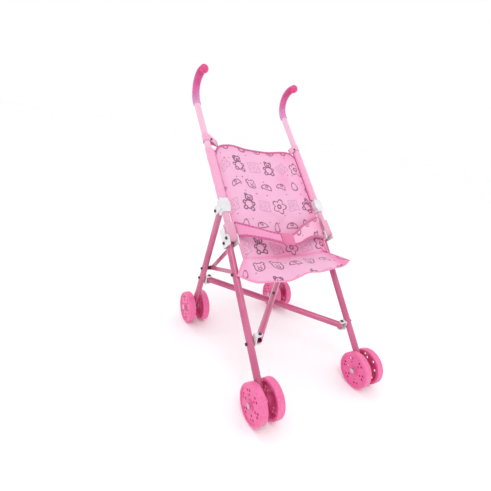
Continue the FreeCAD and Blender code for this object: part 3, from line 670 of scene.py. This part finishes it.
def nursery_print():
    """Line drawings of bears, flowers, hats and drops in staggered rows, with small dots between them."""
    tree, given, result = new_group(
        "nursery_print",
        "ShaderNodeTree",
        {
            "Cloth Place": "Vector", "Cell Width": 0.038, "Row Height": 0.048, "Line Width": 0.019,
            "First Row": 0.023,
        },
        {"Lines": "Float", "Dots": "Float"},
    )
    lower = add(tree, "ShaderNodeCombineXYZ", 0.0, given["First Row"], 0.0)
    place = add(tree, "ShaderNodeVectorMath", given["Cloth Place"], lower, operation="SUBTRACT").outputs[0]
    x, y, number = cell_grid(tree, place, given["Cell Width"], given["Row Height"], 0.0)
    chance = add(tree, "ShaderNodeTexWhiteNoise", number)
    lean = calc(tree, "MULTIPLY_ADD", chance.outputs["Value"], 0.9, -0.45)
    tall = calc(tree, "MULTIPLY", y, calc(tree, "DIVIDE", given["Row Height"], given["Cell Width"]))
    turned_x = calc(tree, "MULTIPLY_ADD", tall, lean, x)
    turned_y = calc(tree, "SUBTRACT", tall, calc(tree, "MULTIPLY", x, lean))
    pick = add(tree, "ShaderNodeSeparateColor", chance.outputs["Color"]).outputs[1]
    cell = add(tree, "ShaderNodeSeparateXYZ", number)
    odd_row = calc(tree, "MODULO", calc(tree, "ABSOLUTE", cell.outputs["Y"]), 2.0)
    even_row = calc(tree, "SUBTRACT", 1.0, odd_row)
    odd_column = calc(tree, "MODULO", calc(tree, "ABSOLUTE", cell.outputs["X"]), 2.0)
    even_column = calc(tree, "SUBTRACT", 1.0, odd_column)
    small_x = calc(tree, "MULTIPLY", turned_x, 0.95)
    small_y = calc(tree, "MULTIPLY", turned_y, 0.95)
    big_x = calc(tree, "MULTIPLY", turned_x, 0.80)
    big_y = calc(tree, "MULTIPLY", turned_y, 0.80)
    bold = calc(tree, "MULTIPLY", even_row, even_column)
    faint = calc(tree, "MULTIPLY", even_row, odd_column)
    drawings = [
        (sitting_bear(tree, big_x, big_y), bold, 0.0, 0.72, 1.0),
        (five_petals(tree, big_x, big_y, 0.34), bold, 0.72, 1.01, 1.0),
        (framed_flower(tree, turned_x, turned_y), faint, -1.0, 2.0, 0.30),
        (bear_head(tree, small_x, small_y), odd_row, 0.0, 0.36, 0.9),
        (dome_hat(tree, small_x, small_y), odd_row, 0.36, 0.64, 0.9),
        (rain_drop(tree, small_x, small_y), odd_row, 0.64, 1.01, 0.8),
    ]
    inked = 0.0
    soft = calc(tree, "MULTIPLY", given["Line Width"], 2.1)
    for distance, where, low, high, strength in drawings:
        line = add(tree, "ShaderNodeMapRange", distance, given["Line Width"], soft, strength, 0.0).outputs[0]
        above, below = calc(tree, "GREATER_THAN", pick, low), calc(tree, "LESS_THAN", pick, high)
        chosen = calc(tree, "MULTIPLY", calc(tree, "MULTIPLY", above, below), where)
        inked = calc(tree, "MULTIPLY_ADD", line, chosen, inked)
    dot_x, dot_y, dot_number = cell_grid(tree, place, 0.0131, 0.0165, 0.35)
    dot_chance = add(tree, "ShaderNodeTexWhiteNoise", dot_number)
    dot = from_circle(tree, dot_x, dot_y, 0.0, 0.0, 0.07, 0.7)
    shown = calc(tree, "GREATER_THAN", dot_chance.outputs["Value"], 0.84)
    spot = add(tree, "ShaderNodeMapRange", dot, 0.02, 0.08, 1.0, 0.0).outputs[0]
    wire(tree, inked, result["Lines"])
    wire(tree, calc(tree, "MULTIPLY", spot, shown), result["Dots"])
    return tree


def satin_weave():
    """Over and under threads of a fine plain cloth, as a height and a faint shade."""
    tree, given, result = new_group(
        "satin_weave", "ShaderNodeTree", {"Cloth Place": "Vector", "Threads Per Metre": 2400.0},
        {"Height": "Float", "Shade": "Float"},
    )
    parts = add(tree, "ShaderNodeSeparateXYZ", given["Cloth Place"])
    angle = calc(tree, "MULTIPLY", given["Threads Per Metre"], math.pi)
    warp = calc(tree, "SINE", calc(tree, "MULTIPLY", parts.outputs["X"], angle))
    weft = calc(tree, "SINE", calc(tree, "MULTIPLY", parts.outputs["Y"], angle))
    crossed = calc(tree, "MULTIPLY_ADD", calc(tree, "MULTIPLY", warp, weft), 0.5, 0.5)
    slub = fill(tree, add(tree, "ShaderNodeTexNoise", given["Cloth Place"]), Scale=160, Detail=4)
    wire(tree, calc(tree, "MULTIPLY_ADD", slub.outputs[0], 0.5, crossed), result["Height"])
    wire(tree, slub.outputs[0], result["Shade"])
    return tree


NURSERY_PRINT = nursery_print()
SATIN_WEAVE = satin_weave()


def printed_cloth(name, pale, deep, ink=(0.11, 0.02, 0.07, 1), printed=True):
    """Cloth on its own UV map in metres. A float attribute on the mesh says where the cloth is darker: deeper
    dye, and on the seat painted shade.
    """
    material, tree, shader = new_material(
        name, Roughness=0.62, Sheen_Weight=0.35, Sheen_Roughness=0.45, Specular_IOR_Level=0.35
    )
    cloth = add(tree, "ShaderNodeUVMap", uv_map="cloth")
    weave = use_group(tree, SATIN_WEAVE, Cloth_Place=cloth)
    depth = add(tree, "ShaderNodeAttribute", attribute_name="depth")
    shade = calc(tree, "MULTIPLY_ADD", weave.outputs["Shade"], 0.35, depth.outputs["Fac"])
    dyed_and_shaded = mix_colour(tree, add(tree, "ShaderNodeClamp", calc(tree, "SUBTRACT", shade, 0.15)), pale, deep)
    if printed:
        drawn = use_group(tree, NURSERY_PRINT, Cloth_Place=cloth)
        for label, strength, colour in (("Lines", 0.88, ink), ("Dots", 0.8, (0.20, 0.03, 0.11, 1))):
            dyed_and_shaded = mix_colour(tree, calc(tree, "MULTIPLY", drawn.outputs[label], strength), dyed_and_shaded, colour)
    rough = add(tree, "ShaderNodeMapRange", weave.outputs["Shade"], 0.3, 0.7, 0.52, 0.72)
    fill(tree, shader, Base_Color=dyed_and_shaded, Roughness=rough)
    raise_surface(tree, shader, weave.outputs["Height"], 0.00007)
    return material


SEAT_CLOTH = printed_cloth("seat_cloth", (0.82, 0.455, 0.64, 1), (0.80, 0.22, 0.44, 1))

SEAT_TOP_PROFILE = (
    (-105, 200), (-101, 208), (-95, 215), (-86, 221), (-74, 224.5), (-60, 225.5), (-46, 223), (-27, 218),
    (-5, 216), (20, 216.5), (45, 217.5), (70, 219.5), (88, 219), (98, 215.5), (105, 207),
)
HEM_LINE = (
    (-121, -69, 200), (-105, -80, 195.5), (-88.7, -92, 193.5), (-69.6, -102, 195.5), (-46, -109, 199),
    (-17.7, -113, 205), (13.5, -115, 213), (40, -115.5, 215.5), (63, -115, 215), (85, -114, 217),
    (101, -112, 220), (121, -106, 228),
)
CREASE_UP = -44.0
BACK_ROWS = 165
PAN_ROWS = 45
SEAT_COLUMNS = 200


def smooth_line(table, at):
    """A smooth curve through the points of a table, for each of its columns after the first."""
    table = np.array(table, float)
    at = np.asarray(at, float)
    xs = table[:, 0]
    low = np.clip(np.searchsorted(xs, at) - 1, 0, len(xs) - 2)
    result = []
    for column in range(1, table.shape[1]):
        ys = table[:, column]
        slope = np.gradient(ys, xs)
        span = xs[low + 1] - xs[low]
        t = np.clip((at - xs[low]) / span, 0, 1)
        h00, h10 = 2 * t**3 - 3 * t**2 + 1, t**3 - 2 * t**2 + t
        h01, h11 = -2 * t**3 + 3 * t**2, t**3 - t**2
        result.append(
            h00 * ys[low] + h10 * span * slope[low] + h01 * ys[low + 1] + h11 * span * slope[low + 1]
        )
    return result[0] if len(result) == 1 else np.stack(result, axis=-1)


def in_seat(x, up, behind):
    """From the seat's own measures in mm (across, up the handle, behind it) to a place in metres."""
    x, up, behind = np.broadcast_arrays(np.asarray(x, float), up, behind)
    y = PIVOT.y * 1000 + up * UP.y + behind * BEHIND.y
    z = PIVOT.z * 1000 + up * UP.z + behind * BEHIND.z
    return np.stack([x, y, z], axis=-1) / 1000


def fold_ridge(x, up, start, end, width, height):
    """A soft fold along a line on the cloth, fading out at both ends."""
    start, end = np.array(start, float), np.array(end, float)
    along = end - start
    length = np.hypot(*along)
    along = along / length
    dx, du = x - start[0], up - start[1]
    t = (dx * along[0] + du * along[1]) / length
    off = -dx * along[1] + du * along[0]
    fade = np.clip(t, 0, 1) * np.clip(1 - t, 0, 1) * 4
    return height * fade * np.exp(-((off / width) ** 2))


# Each soft fold: its start and end as across and up, its width and how far it stands back, in mm.
SOFT_FOLDS = (
    ((-100, 205), (10, 60), 7, -3.4), ((98, 212), (20, 90), 8, -3.2), ((-98, 120), (60, 20), 9, -3.0),
    ((100, 110), (-40, -20), 8, 3.0), ((-100, 30), (30, -44), 7, -2.6), ((-60, 224), (-52, 150), 8, -3.6),
    ((104, 60), (84, -40), 7, -3.4), ((-106, 90), (-90, -40), 6, 3.2), ((40, 216), (48, 140), 8, 2.4),
)


def behind_at(x, up):
    """How far the back panel stands behind the tubes: a shallow sag with soft folds in it."""
    share = np.clip(1 - (x / 108) ** 2, 0, 1)
    low = np.clip((150 - up) / 190, 0, 1)
    sag = share * (3.0 + 9.0 * low)
    free = np.clip((95 - up) / 60, 0, 1)
    ripple = 1.3 * np.sin(x / 17 + up / 37) * share
    ripple = ripple + 0.9 * np.sin(x / 9.5 - up / 23 + 1.3) * share * (0.4 + low)
    folds = sum(fold_ridge(x, up, *fold) for fold in SOFT_FOLDS)
    return sag + ripple + folds + free * (1 - share) * 1.5


def seat_place(across, down):
    """A place on the seat. across runs -1 to 1. down is 0 at the top edge, 1 at the crease, 2 at the hem."""
    across, down = np.broadcast_arrays(np.asarray(across, float), np.asarray(down, float))
    back = np.clip(down, 0, 1)
    half = 105.0
    x = across * half
    top = smooth_line(SEAT_TOP_PROFILE, x)
    up = top + (CREASE_UP - top) * back
    rise, fall = np.clip((up + 44) / 100, 0, 1), np.clip((200 - up) / 20, 0, 1)
    x = x + np.sign(x) * np.abs(across) ** 6 * 3.0 * rise * fall
    back_place = in_seat(x, up, behind_at(x, up))
    crease = in_seat(across * half, CREASE_UP, behind_at(across * half, CREASE_UP))
    hem = np.concatenate([(across * 121)[..., None], smooth_line(HEM_LINE, across * 121)], axis=-1) / 1000
    pan = np.clip(down - 1, 0, 1)[..., None]
    straight = crease + (hem - crease) * pan
    share = (1 - across**2)[..., None]
    puff = 0.004 * np.sin(np.pi * pan) * share
    wave = 0.0016 * np.sin(across * 11 + 1.2)[..., None] * np.sin(np.pi * pan * 0.5) * (0.4 + share)
    straight = straight + np.concatenate([np.zeros_like(puff), puff * -0.3, puff + wave], axis=-1)
    return np.where((down > 1)[..., None], straight, back_place)


def cloth_mesh(name, places, cloth_uv, depth, material, closed=False):
    """A grid of places (rows, columns, 3) as a smooth mesh with a UV map in metres."""
    rows, columns = places.shape[:2]
    number = np.arange(rows * columns).reshape(rows, columns)
    if closed:
        number = np.concatenate([number, number[:, :1]], axis=1)
    first, second = number[:-1], number[1:]
    faces = np.stack([first[:, :-1], first[:, 1:], second[:, 1:], second[:, :-1]], axis=-1).reshape(-1, 4)
    mesh = bpy.data.meshes.new(name)
    mesh.from_pydata([tuple(p) for p in places.reshape(-1, 3)], [], faces.tolist())
    layer = mesh.uv_layers.new(name="cloth")
    flat_uv = cloth_uv.reshape(-1, 2)
    corners = np.empty(len(mesh.loops), int)
    mesh.loops.foreach_get("vertex_index", corners)
    layer.data.foreach_set("uv", flat_uv[corners].astype(np.float32).ravel())
    dye_and_shade_layer = mesh.attributes.new("depth", "FLOAT", "POINT")
    dye_and_shade_layer.data.foreach_set("value", np.asarray(depth, np.float32).ravel())
    mesh.polygons.foreach_set("use_smooth", [True] * len(mesh.polygons))
    mesh.materials.append(material)
    mesh.update()
    return mesh


def cloth_lengths(places):
    """UV places in metres, measured along the grid's own rows and columns from its middle column."""
    across = np.linalg.norm(np.diff(places, axis=1), axis=-1)
    down = np.linalg.norm(np.diff(places, axis=0), axis=-1)
    u = np.concatenate([np.zeros((places.shape[0], 1)), np.cumsum(across, axis=1)], axis=1)
    u = u - u[:, places.shape[1] // 2][:, None]
    v = np.concatenate([np.zeros((1, places.shape[1])), -np.cumsum(down, axis=0)], axis=0)
    return np.stack([u, v], axis=-1)


def rounded_crease(places, row, reach=5):
    """Eases the sharp line at the crease by averaging a few rows on each side of it."""
    eased = places.copy()
    for _ in range(6):
        for j in range(row - reach, row + reach + 1):
            eased[j] = (eased[j - 1] + 2 * eased[j] + eased[j + 1]) / 4
    return eased


downs = np.concatenate([np.linspace(0, 1, BACK_ROWS), np.linspace(1, 2, PAN_ROWS)[1:]])
acrosses = np.linspace(-1, 1, SEAT_COLUMNS)
seat_grid = seat_place(acrosses[None, :], downs[:, None])
seat_grid = rounded_crease(seat_grid, BACK_ROWS - 1)
seat_uv = cloth_lengths(seat_grid)
grid_x = seat_grid[..., 0] * 1000
grid_down = np.broadcast_to(downs[:, None], grid_x.shape)
# Painted shade: the seat is darkened along the crease, along both side edges by the tubes, just under the top
# binding and in two soft patches on the back.
seat_painted_shade = (
    0.10
    + 0.55 * np.exp(-(((grid_x - 10) / 55) ** 2) - ((grid_down - 0.95) / 0.16) ** 2)
    + 0.75 * np.exp(-(((grid_x - 104) / 15) ** 2)) * np.clip(grid_down + 0.3, 0, 1)
    + 0.30 * np.exp(-(((grid_x + 104) / 10) ** 2))
    + 0.35 * np.exp(-(((grid_down - 1.0) / 0.02) ** 2))
    + 0.35 * np.exp(-(((grid_x - 50) / 22) ** 2) - ((grid_down - 0.30) / 0.10) ** 2)
    + 0.30 * np.exp(-(((grid_x - 78) / 20) ** 2) - ((grid_down - 0.06) / 0.08) ** 2)
    + 0.25 * np.exp(-(((grid_down - 0.02) / 0.03) ** 2))
)
seat_mesh = cloth_mesh("seat_panel", seat_grid, seat_uv, seat_painted_shade, SEAT_CLOTH)
seat_panel = new_piece("seat_panel", seat_mesh, "right_handle")
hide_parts("seat_sling")

# ------------------------------------------------------------------ bound edges and seams of the seat
# A deeper pink tape folded over the raw edge and sewn through. It runs along the top, and in a second
# length down one side, round the hem and up the other side. It puckers where it turns.
TAPE_CLOTH = printed_cloth("binding_tape", (0.62, 0.125, 0.30, 1), (0.36, 0.035, 0.15, 1), printed=False)
HEM_CLOTH = printed_cloth("hem_tape", (0.86, 0.33, 0.53, 1), (0.70, 0.13, 0.32, 1), printed=False)
SLEEVE_CLOTH = printed_cloth("sleeve_cloth", (0.86, 0.40, 0.60, 1), (0.52, 0.05, 0.20, 1), printed=False)


def unit(vectors):
    return vectors / np.linalg.norm(vectors, axis=-1, keepdims=True)


def run_along(places):
    """How far along a line of places each of them is."""
    return np.concatenate([[0], np.cumsum(np.linalg.norm(np.diff(places, axis=0), axis=-1))])


def edge_frames(places, inner):
    """For each place on an edge: the way into the cloth and the cloth's normal."""
    along = unit(np.gradient(places, axis=0))
    inward = inner - places
    inward = unit(inward - along * np.sum(inward * along, axis=-1, keepdims=True))
    return inward, np.cross(along, inward)


def tape_mesh(name, places, inner, wide, thick, material, sides=12):
    """A tape folded over an edge: a flattened round swept along it, with small puckers."""
    inward, normal = edge_frames(places, inner)
    turns = np.linspace(0, 2 * np.pi, sides, endpoint=False)
    count = len(places)
    run = run_along(places)
    pucker = 1 + 0.16 * np.sin(run * 900) + 0.10 * np.sin(run * 2300 + 1)
    across = (0.42 + 0.5 * np.cos(turns))[None, :] * wide
    height = np.sin(turns)[None, :] * thick * 0.5 * pucker[:, None]
    rings = places[:, None] + inward[:, None] * across[..., None] + normal[:, None] * height[..., None]
    uv = np.stack(np.broadcast_arrays(turns[None, :] / 7 * wide, run[:, None]), axis=-1)
    depth = np.broadcast_to(0.15 + 0.35 * np.clip(np.cos(turns), 0, 1)[None, :], (count, sides))
    mesh = cloth_mesh(name, rings, uv, depth, material, closed=True)
    caps = [list(range(sides))[::-1], [(count - 1) * sides + i for i in range(sides)]]
    return close_ends(mesh, caps)


def close_ends(mesh, caps=()):
    """Closes the ends that are given and turns every face outwards."""
    shell = bmesh.new()
    shell.from_mesh(mesh)
    shell.verts.ensure_lookup_table()
    for cap in caps:
        shell.faces.new([shell.verts[i] for i in cap])
    bmesh.ops.recalc_face_normals(shell, faces=shell.faces)
    shell.to_mesh(mesh)
    shell.free()
    return mesh


def edge_path(acrosses, downs, step=0.0012):
    """Places along an edge of the seat, evenly spaced, with the places just inside it."""
    places = seat_place(np.array(acrosses), np.array(downs))
    run = run_along(places)
    even = np.linspace(0, run[-1], int(run[-1] / step))
    across = np.interp(even, run, acrosses)
    down = np.interp(even, run, downs)
    inner = seat_place(across * 0.90, np.where(down < 0.5, down + 0.06, down - 0.06))
    return seat_place(across, down), inner


def fold_with_frame(piece):
    """Gives the piece its own copy of its mesh."""
    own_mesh(piece)


top_across = np.linspace(-1, 1, 240)
top_edge, top_inner = edge_path(top_across, np.zeros_like(top_across))
top_binding = new_piece(
    "top_binding", tape_mesh("top_binding", top_edge, top_inner, 0.0050, 0.0025, TAPE_CLOTH), "right_handle"
)
side_down = np.linspace(0.50, 2.0, 160)
hem_across = np.linspace(-1, 1, 240)[1:-1]
low_across = np.concatenate([-np.ones(160), hem_across, np.ones(160)])
low_down = np.concatenate([side_down, np.full(238, 2.0), side_down[::-1]])
low_edge, low_inner = edge_path(low_across, low_down)
low_binding = new_piece(
    "low_binding", tape_mesh("low_binding", low_edge, low_inner, 0.0034, 0.0018, HEM_CLOTH), "right_handle"
)


def stitch_tree():
    """A row of short threads along the base line, each lying on the cloth with a small random skew."""
    tree, given, result = new_group(
        "stitches",
        "GeometryNodeTree",
        {
            "Line": "Geometry", "Spacing": 0.0026, "Thread Length": 0.0019, "Thread Radius": 0.00022,
            "Skew": 0.12, "Seed": 7, "Thread": "Material",
        },
        {"Geometry": "Geometry"},
    )
    curve = add(tree, "GeometryNodeMeshToCurve", given["Line"])
    points = add(tree, "GeometryNodeCurveToPoints", mode="LENGTH")
    fill(tree, points, Curve=curve, Length=given["Spacing"])
    radius, skew = given["Thread Radius"], given["Skew"]
    half = calc(tree, "MULTIPLY", given["Thread Length"], 0.5)
    thread = long_ball(tree, 6, 4, radius, calc(tree, "DIVIDE", half, radius), given["Thread"])
    low = calc(tree, "MULTIPLY", skew, -1.0)
    lowest, highest = [add(tree, "ShaderNodeCombineXYZ", value, value, value) for value in (low, skew)]
    chance = add(tree, "FunctionNodeRandomValue", lowest, highest, data_type="FLOAT_VECTOR")
    fill(tree, chance, Seed=given["Seed"])
    skewed = add(tree, "ShaderNodeVectorMath", points.outputs["Tangent"], chance.outputs[0])
    set_on_points(tree, points.outputs["Points"], thread, skewed, result[0])
    return tree


STITCHES = stitch_tree()
THREAD = mottled(
    "sewing_thread", (0.93, 0.62, 0.72, 1), (0.86, 0.45, 0.58, 1), 0.6, 0.8, grain=4000.0, Sheen_Weight=0.3
)[0]
DARK_THREAD = mottled(
    "dark_thread", (0.55, 0.06, 0.22, 1), (0.42, 0.04, 0.16, 1), 0.6, 0.8, grain=4000.0, Sheen_Weight=0.3
)[0]


def sew(name, line, body, thread, **sizes):
    piece = grow(name, STITCHES, line_mesh(name, line), body, Thread=thread, **sizes)
    return piece


def beside_edge(places, inner, inset, lift):
    inward, normal = edge_frames(places, inner)
    return places + inward * inset + normal * lift


seat_sewing = []
for lift, face in ((0.0014, "front"), (-0.0014, "back")):
    line = beside_edge(top_edge, top_inner, 0.0034, lift)
    seat_sewing.append(sew(f"top_stitches_{face}", line, "right_handle", THREAD))
    line = beside_edge(low_edge, low_inner, 0.0030, lift)
    seat_sewing.append(sew(f"low_stitches_{face}", line, "right_handle", THREAD))
crease_line = seat_place(np.linspace(-0.97, 0.97, 300), np.full(300, 0.985))
crease_line = crease_line - np.array(BEHIND)[None, :] * 0.0006
seat_sewing.append(sew("crease_stitches", crease_line, "right_handle", DARK_THREAD))
for piece in (seat_panel, top_binding, low_binding, *seat_sewing):
    fold_with_frame(piece)

# ------------------------------------------------------------------ side sleeves and corner tabs
# A strip of plain pink cloth goes round each handle tube as a sleeve and is sewn to the panel with dark
# thread. Above the sleeve a short tab from the panel's corner wraps the tube under a screw.
TUBE_ACROSS = 118  # from the stroller's middle to each handle tube, mm


def sleeve_mesh(name, sign, low, high, ring, tail, slant, wide_ripple, seam_darkening):
    """Cloth round a tube: a circle drawn out to a flat seam towards the panel."""
    steps = max(12, int((high - low) / 1.2))
    count = 56
    turns = np.linspace(0, 2 * np.pi, count, endpoint=False)
    up = np.linspace(low, high, steps)
    bend = np.abs((turns + np.pi) % (2 * np.pi) - np.pi)
    tangent = math.acos(ring / tail)
    reach = np.where(bend < tangent, ring / np.cos(np.clip(tangent - bend, 0, 1.5)), ring)
    grown = np.broadcast_to(reach[None, :], (steps, count)).copy()
    loose = (reach - ring) / (tail - ring)
    grown += wide_ripple * np.sin(up[:, None] / 6.5 + 2 * turns[None, :]) * (1 - loose[None, :])
    grown += wide_ripple * 0.7 * np.sin(up[:, None] / 3.1 - 3 * turns[None, :] + 1) * (1 - loose[None, :])
    x = sign * (TUBE_ACROSS - grown * np.cos(turns)[None, :])
    behind = grown * np.sin(turns)[None, :]
    lifted = up[:, None] + slant * loose[None, :]
    places = in_seat(x, lifted, behind)
    uv = cloth_lengths(places)
    # The sleeve is made darker towards its flat seam by the panel.
    depth = np.broadcast_to(0.05 + seam_darkening * np.clip(loose, 0, 1)[None, :] ** 2, (steps, count))
    return cloth_mesh(name, places, uv, depth, SLEEVE_CLOTH, closed=True)


def sewn_round(name, mesh, side):
    """A strip of cloth closed round its side's handle tube, on that side's handle."""
    piece = new_piece(name, close_ends(mesh), f"{side}_handle")
    return piece


for side in SIDES:
    sign = SIGN[side]
    top = 205 if side == "right" else 218
    sleeve = sleeve_mesh(
        "sleeve", sign, 84, top, ring=7.6, tail=13.6, slant=0.0, wide_ripple=0.22, seam_darkening=1.1
    )
    sewn_round(f"{side}_sleeve", sleeve, side)
    low, high = (224, 241) if side == "right" else (223, 238)
    tab = sleeve_mesh("tab", sign, low, high, ring=7.9, tail=24.0, slant=-12.0, wide_ripple=0.1, seam_darkening=0.2)
    sewn_round(f"{side}_tab", tab, side)
    for behind, face in ((-1.0, "front"), (1.0, "back")):
        runs = np.linspace(86, top - 2, 200)
        line = in_seat(sign * 105.8 + runs * 0, runs, runs * 0 + behind)
        sew(f"{side}_sleeve_stitches_{face}", line, f"{side}_handle", DARK_THREAD)
    tab_screw = in_seat(sign * 109.5, (low + high) / 2 - 5, -6.0)
    tab_head = grow(
        f"{side}_tab_screw", SCREW_HEADS, points_facing("tab_screw", [(tab_screw, tuple(-BEHIND))]),
        f"{side}_handle", Head_Finish=DARK_METAL, Recess_Finish=RECESS_PAINTED_SHADE, Head_Radius=0.0026,
        Dome_Height=0.0012, Cross_Length=0.0026,
    )

# ------------------------------------------------------------------ waist belt
# Two flat bands with bound edges, sewn in behind the tubes. The left one, of the printed cloth and wider
# at its root, ends in a bare square of hook tape, and the right one's end is pressed onto it.
BELT_CLOTH = printed_cloth("belt_cloth", (0.82, 0.33, 0.54, 1), (0.66, 0.10, 0.28, 1), printed=False)
PRINTED_BELT = printed_cloth("printed_belt", (0.86, 0.45, 0.63, 1), (0.78, 0.20, 0.40, 1))
HOOK_TAPE = printed_cloth("hook_tape", (0.74, 0.20, 0.36, 1), (0.60, 0.10, 0.26, 1), printed=False)
# Each row: across, the upper edge, the lower edge and how far behind the tubes, in mm.
RIGHT_BELT = (
    (-104, 33, 0, -2), (-92, 25, -3, -9), (-75, 14, -11, -17), (-55, 3, -19, -23), (-40, -4, -26, -27),
    (-27, -9, -32, -29),
)
LEFT_BELT = (
    (-40, -5, -27, -26), (-12, -8, -32, -27), (4, -9, -34, -26), (18, -2, -31, -25), (34, 9, -24, -23),
    (52, 18, -18, -19), (75, 29, -14, -13), (95, 38, -14, -6), (104, 41, -13, -2),
)


def belt_grid(table, low_x, high_x, columns=150, rows=26):
    x = np.linspace(low_x, high_x, columns)
    edges = smooth_line(table, x)
    share = np.linspace(0, 1, rows)[:, None]
    up = edges[:, 0][None, :] * (1 - share) + edges[:, 1][None, :] * share
    ripple = 0.7 * np.sin(x / 8 + 2 * share) * np.sin(np.pi * share)
    behind = edges[:, 2][None, :] + ripple - 1.6 * np.sin(np.pi * share)
    return in_seat(x[None, :] + 0 * share, up, behind)


def slab_mesh(name, grid, thick, depth, material):
    """A band with two faces and closed edges, from its front face's grid."""
    rows, columns = grid.shape[:2]
    normal = unit(np.cross(np.gradient(grid, axis=1), np.gradient(grid, axis=0)))
    edge = np.minimum(np.arange(rows), np.arange(rows)[::-1])[:, None]
    swell = thick * np.clip(0.35 + edge / 3, 0, 1)[..., None] * 0.5
    front, back = grid + normal * swell, grid - normal * swell
    ring = np.concatenate([front, back[::-1]], axis=0)
    uv = cloth_lengths(grid)
    ring_uv = np.concatenate([uv, uv[::-1]], axis=0)
    ring_depth = np.concatenate([depth, depth[::-1]], axis=0)
    places = np.transpose(ring, (1, 0, 2))
    mesh = cloth_mesh(name, places, np.transpose(ring_uv, (1, 0, 2)), ring_depth.T, material, closed=True)
    count = 2 * rows
    caps = [list(range(count))[::-1], [(columns - 1) * count + i for i in range(count)]]
    return close_ends(mesh, caps)


def belt_piece(name, mesh, *replaced):
    """A piece of the belt on the right handle; the parts that it replaces are hidden."""
    piece = new_piece(name, mesh, "right_handle")
    for node_name in replaced:
        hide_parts(node_name)
    fold_with_frame(piece)


for side, table, low_x, high_x, material in (
    ("right", RIGHT_BELT, -104, -27, BELT_CLOTH),
    ("left", LEFT_BELT, 2, 104, PRINTED_BELT),
):
    grid = belt_grid(table, low_x, high_x)
    rows = grid.shape[0]
    edge = np.minimum(np.arange(rows), np.arange(rows)[::-1])[:, None]
    root = np.clip((np.linspace(low_x, high_x, grid.shape[1]) - 62) / 40, 0, 1)[None, :]
    depth = np.clip(np.where(edge < 4, 0.8, 0.15) + 0.7 * root, 0, 1.2)
    name = f"{side}_waist_belt"
    belt_piece(name, slab_mesh(name, grid, 0.0020, depth, material), f"{side}_belt")
    for row, place in ((3, "top"), (rows - 4, "low")):
        line = grid[row] - np.array(BEHIND)[None, :] * 0.0014
        run = sew(f"{side}_belt_stitches_{place}", line[2:-2], "right_handle", THREAD)
        fold_with_frame(run)
    for edge_line, inner_line, place in ((grid[0], grid[3], "top"), (grid[-1], grid[-4], "low")):
        binding = tape_mesh("belt_binding", edge_line, inner_line, 0.0052, 0.0032, TAPE_CLOTH)
        belt_piece(f"{side}_belt_binding_{place}", binding)

# The end of the left half is a bare square of hook tape, which the right half's end is pressed onto.
hook_grid = belt_grid(LEFT_BELT, -38, 3, columns=60)
hook_depth = np.full(hook_grid.shape[:2], 0.3)
belt_piece("hook_patch", slab_mesh("hook_patch", hook_grid, 0.0016, hook_depth, HOOK_TAPE))
end_grid = belt_grid(RIGHT_BELT, -104, -27)
end_tape = tape_mesh("right_belt_end", end_grid[:, -1], end_grid[:, -4], 0.0042, 0.0032, TAPE_CLOTH)
belt_piece("right_belt_end", end_tape)
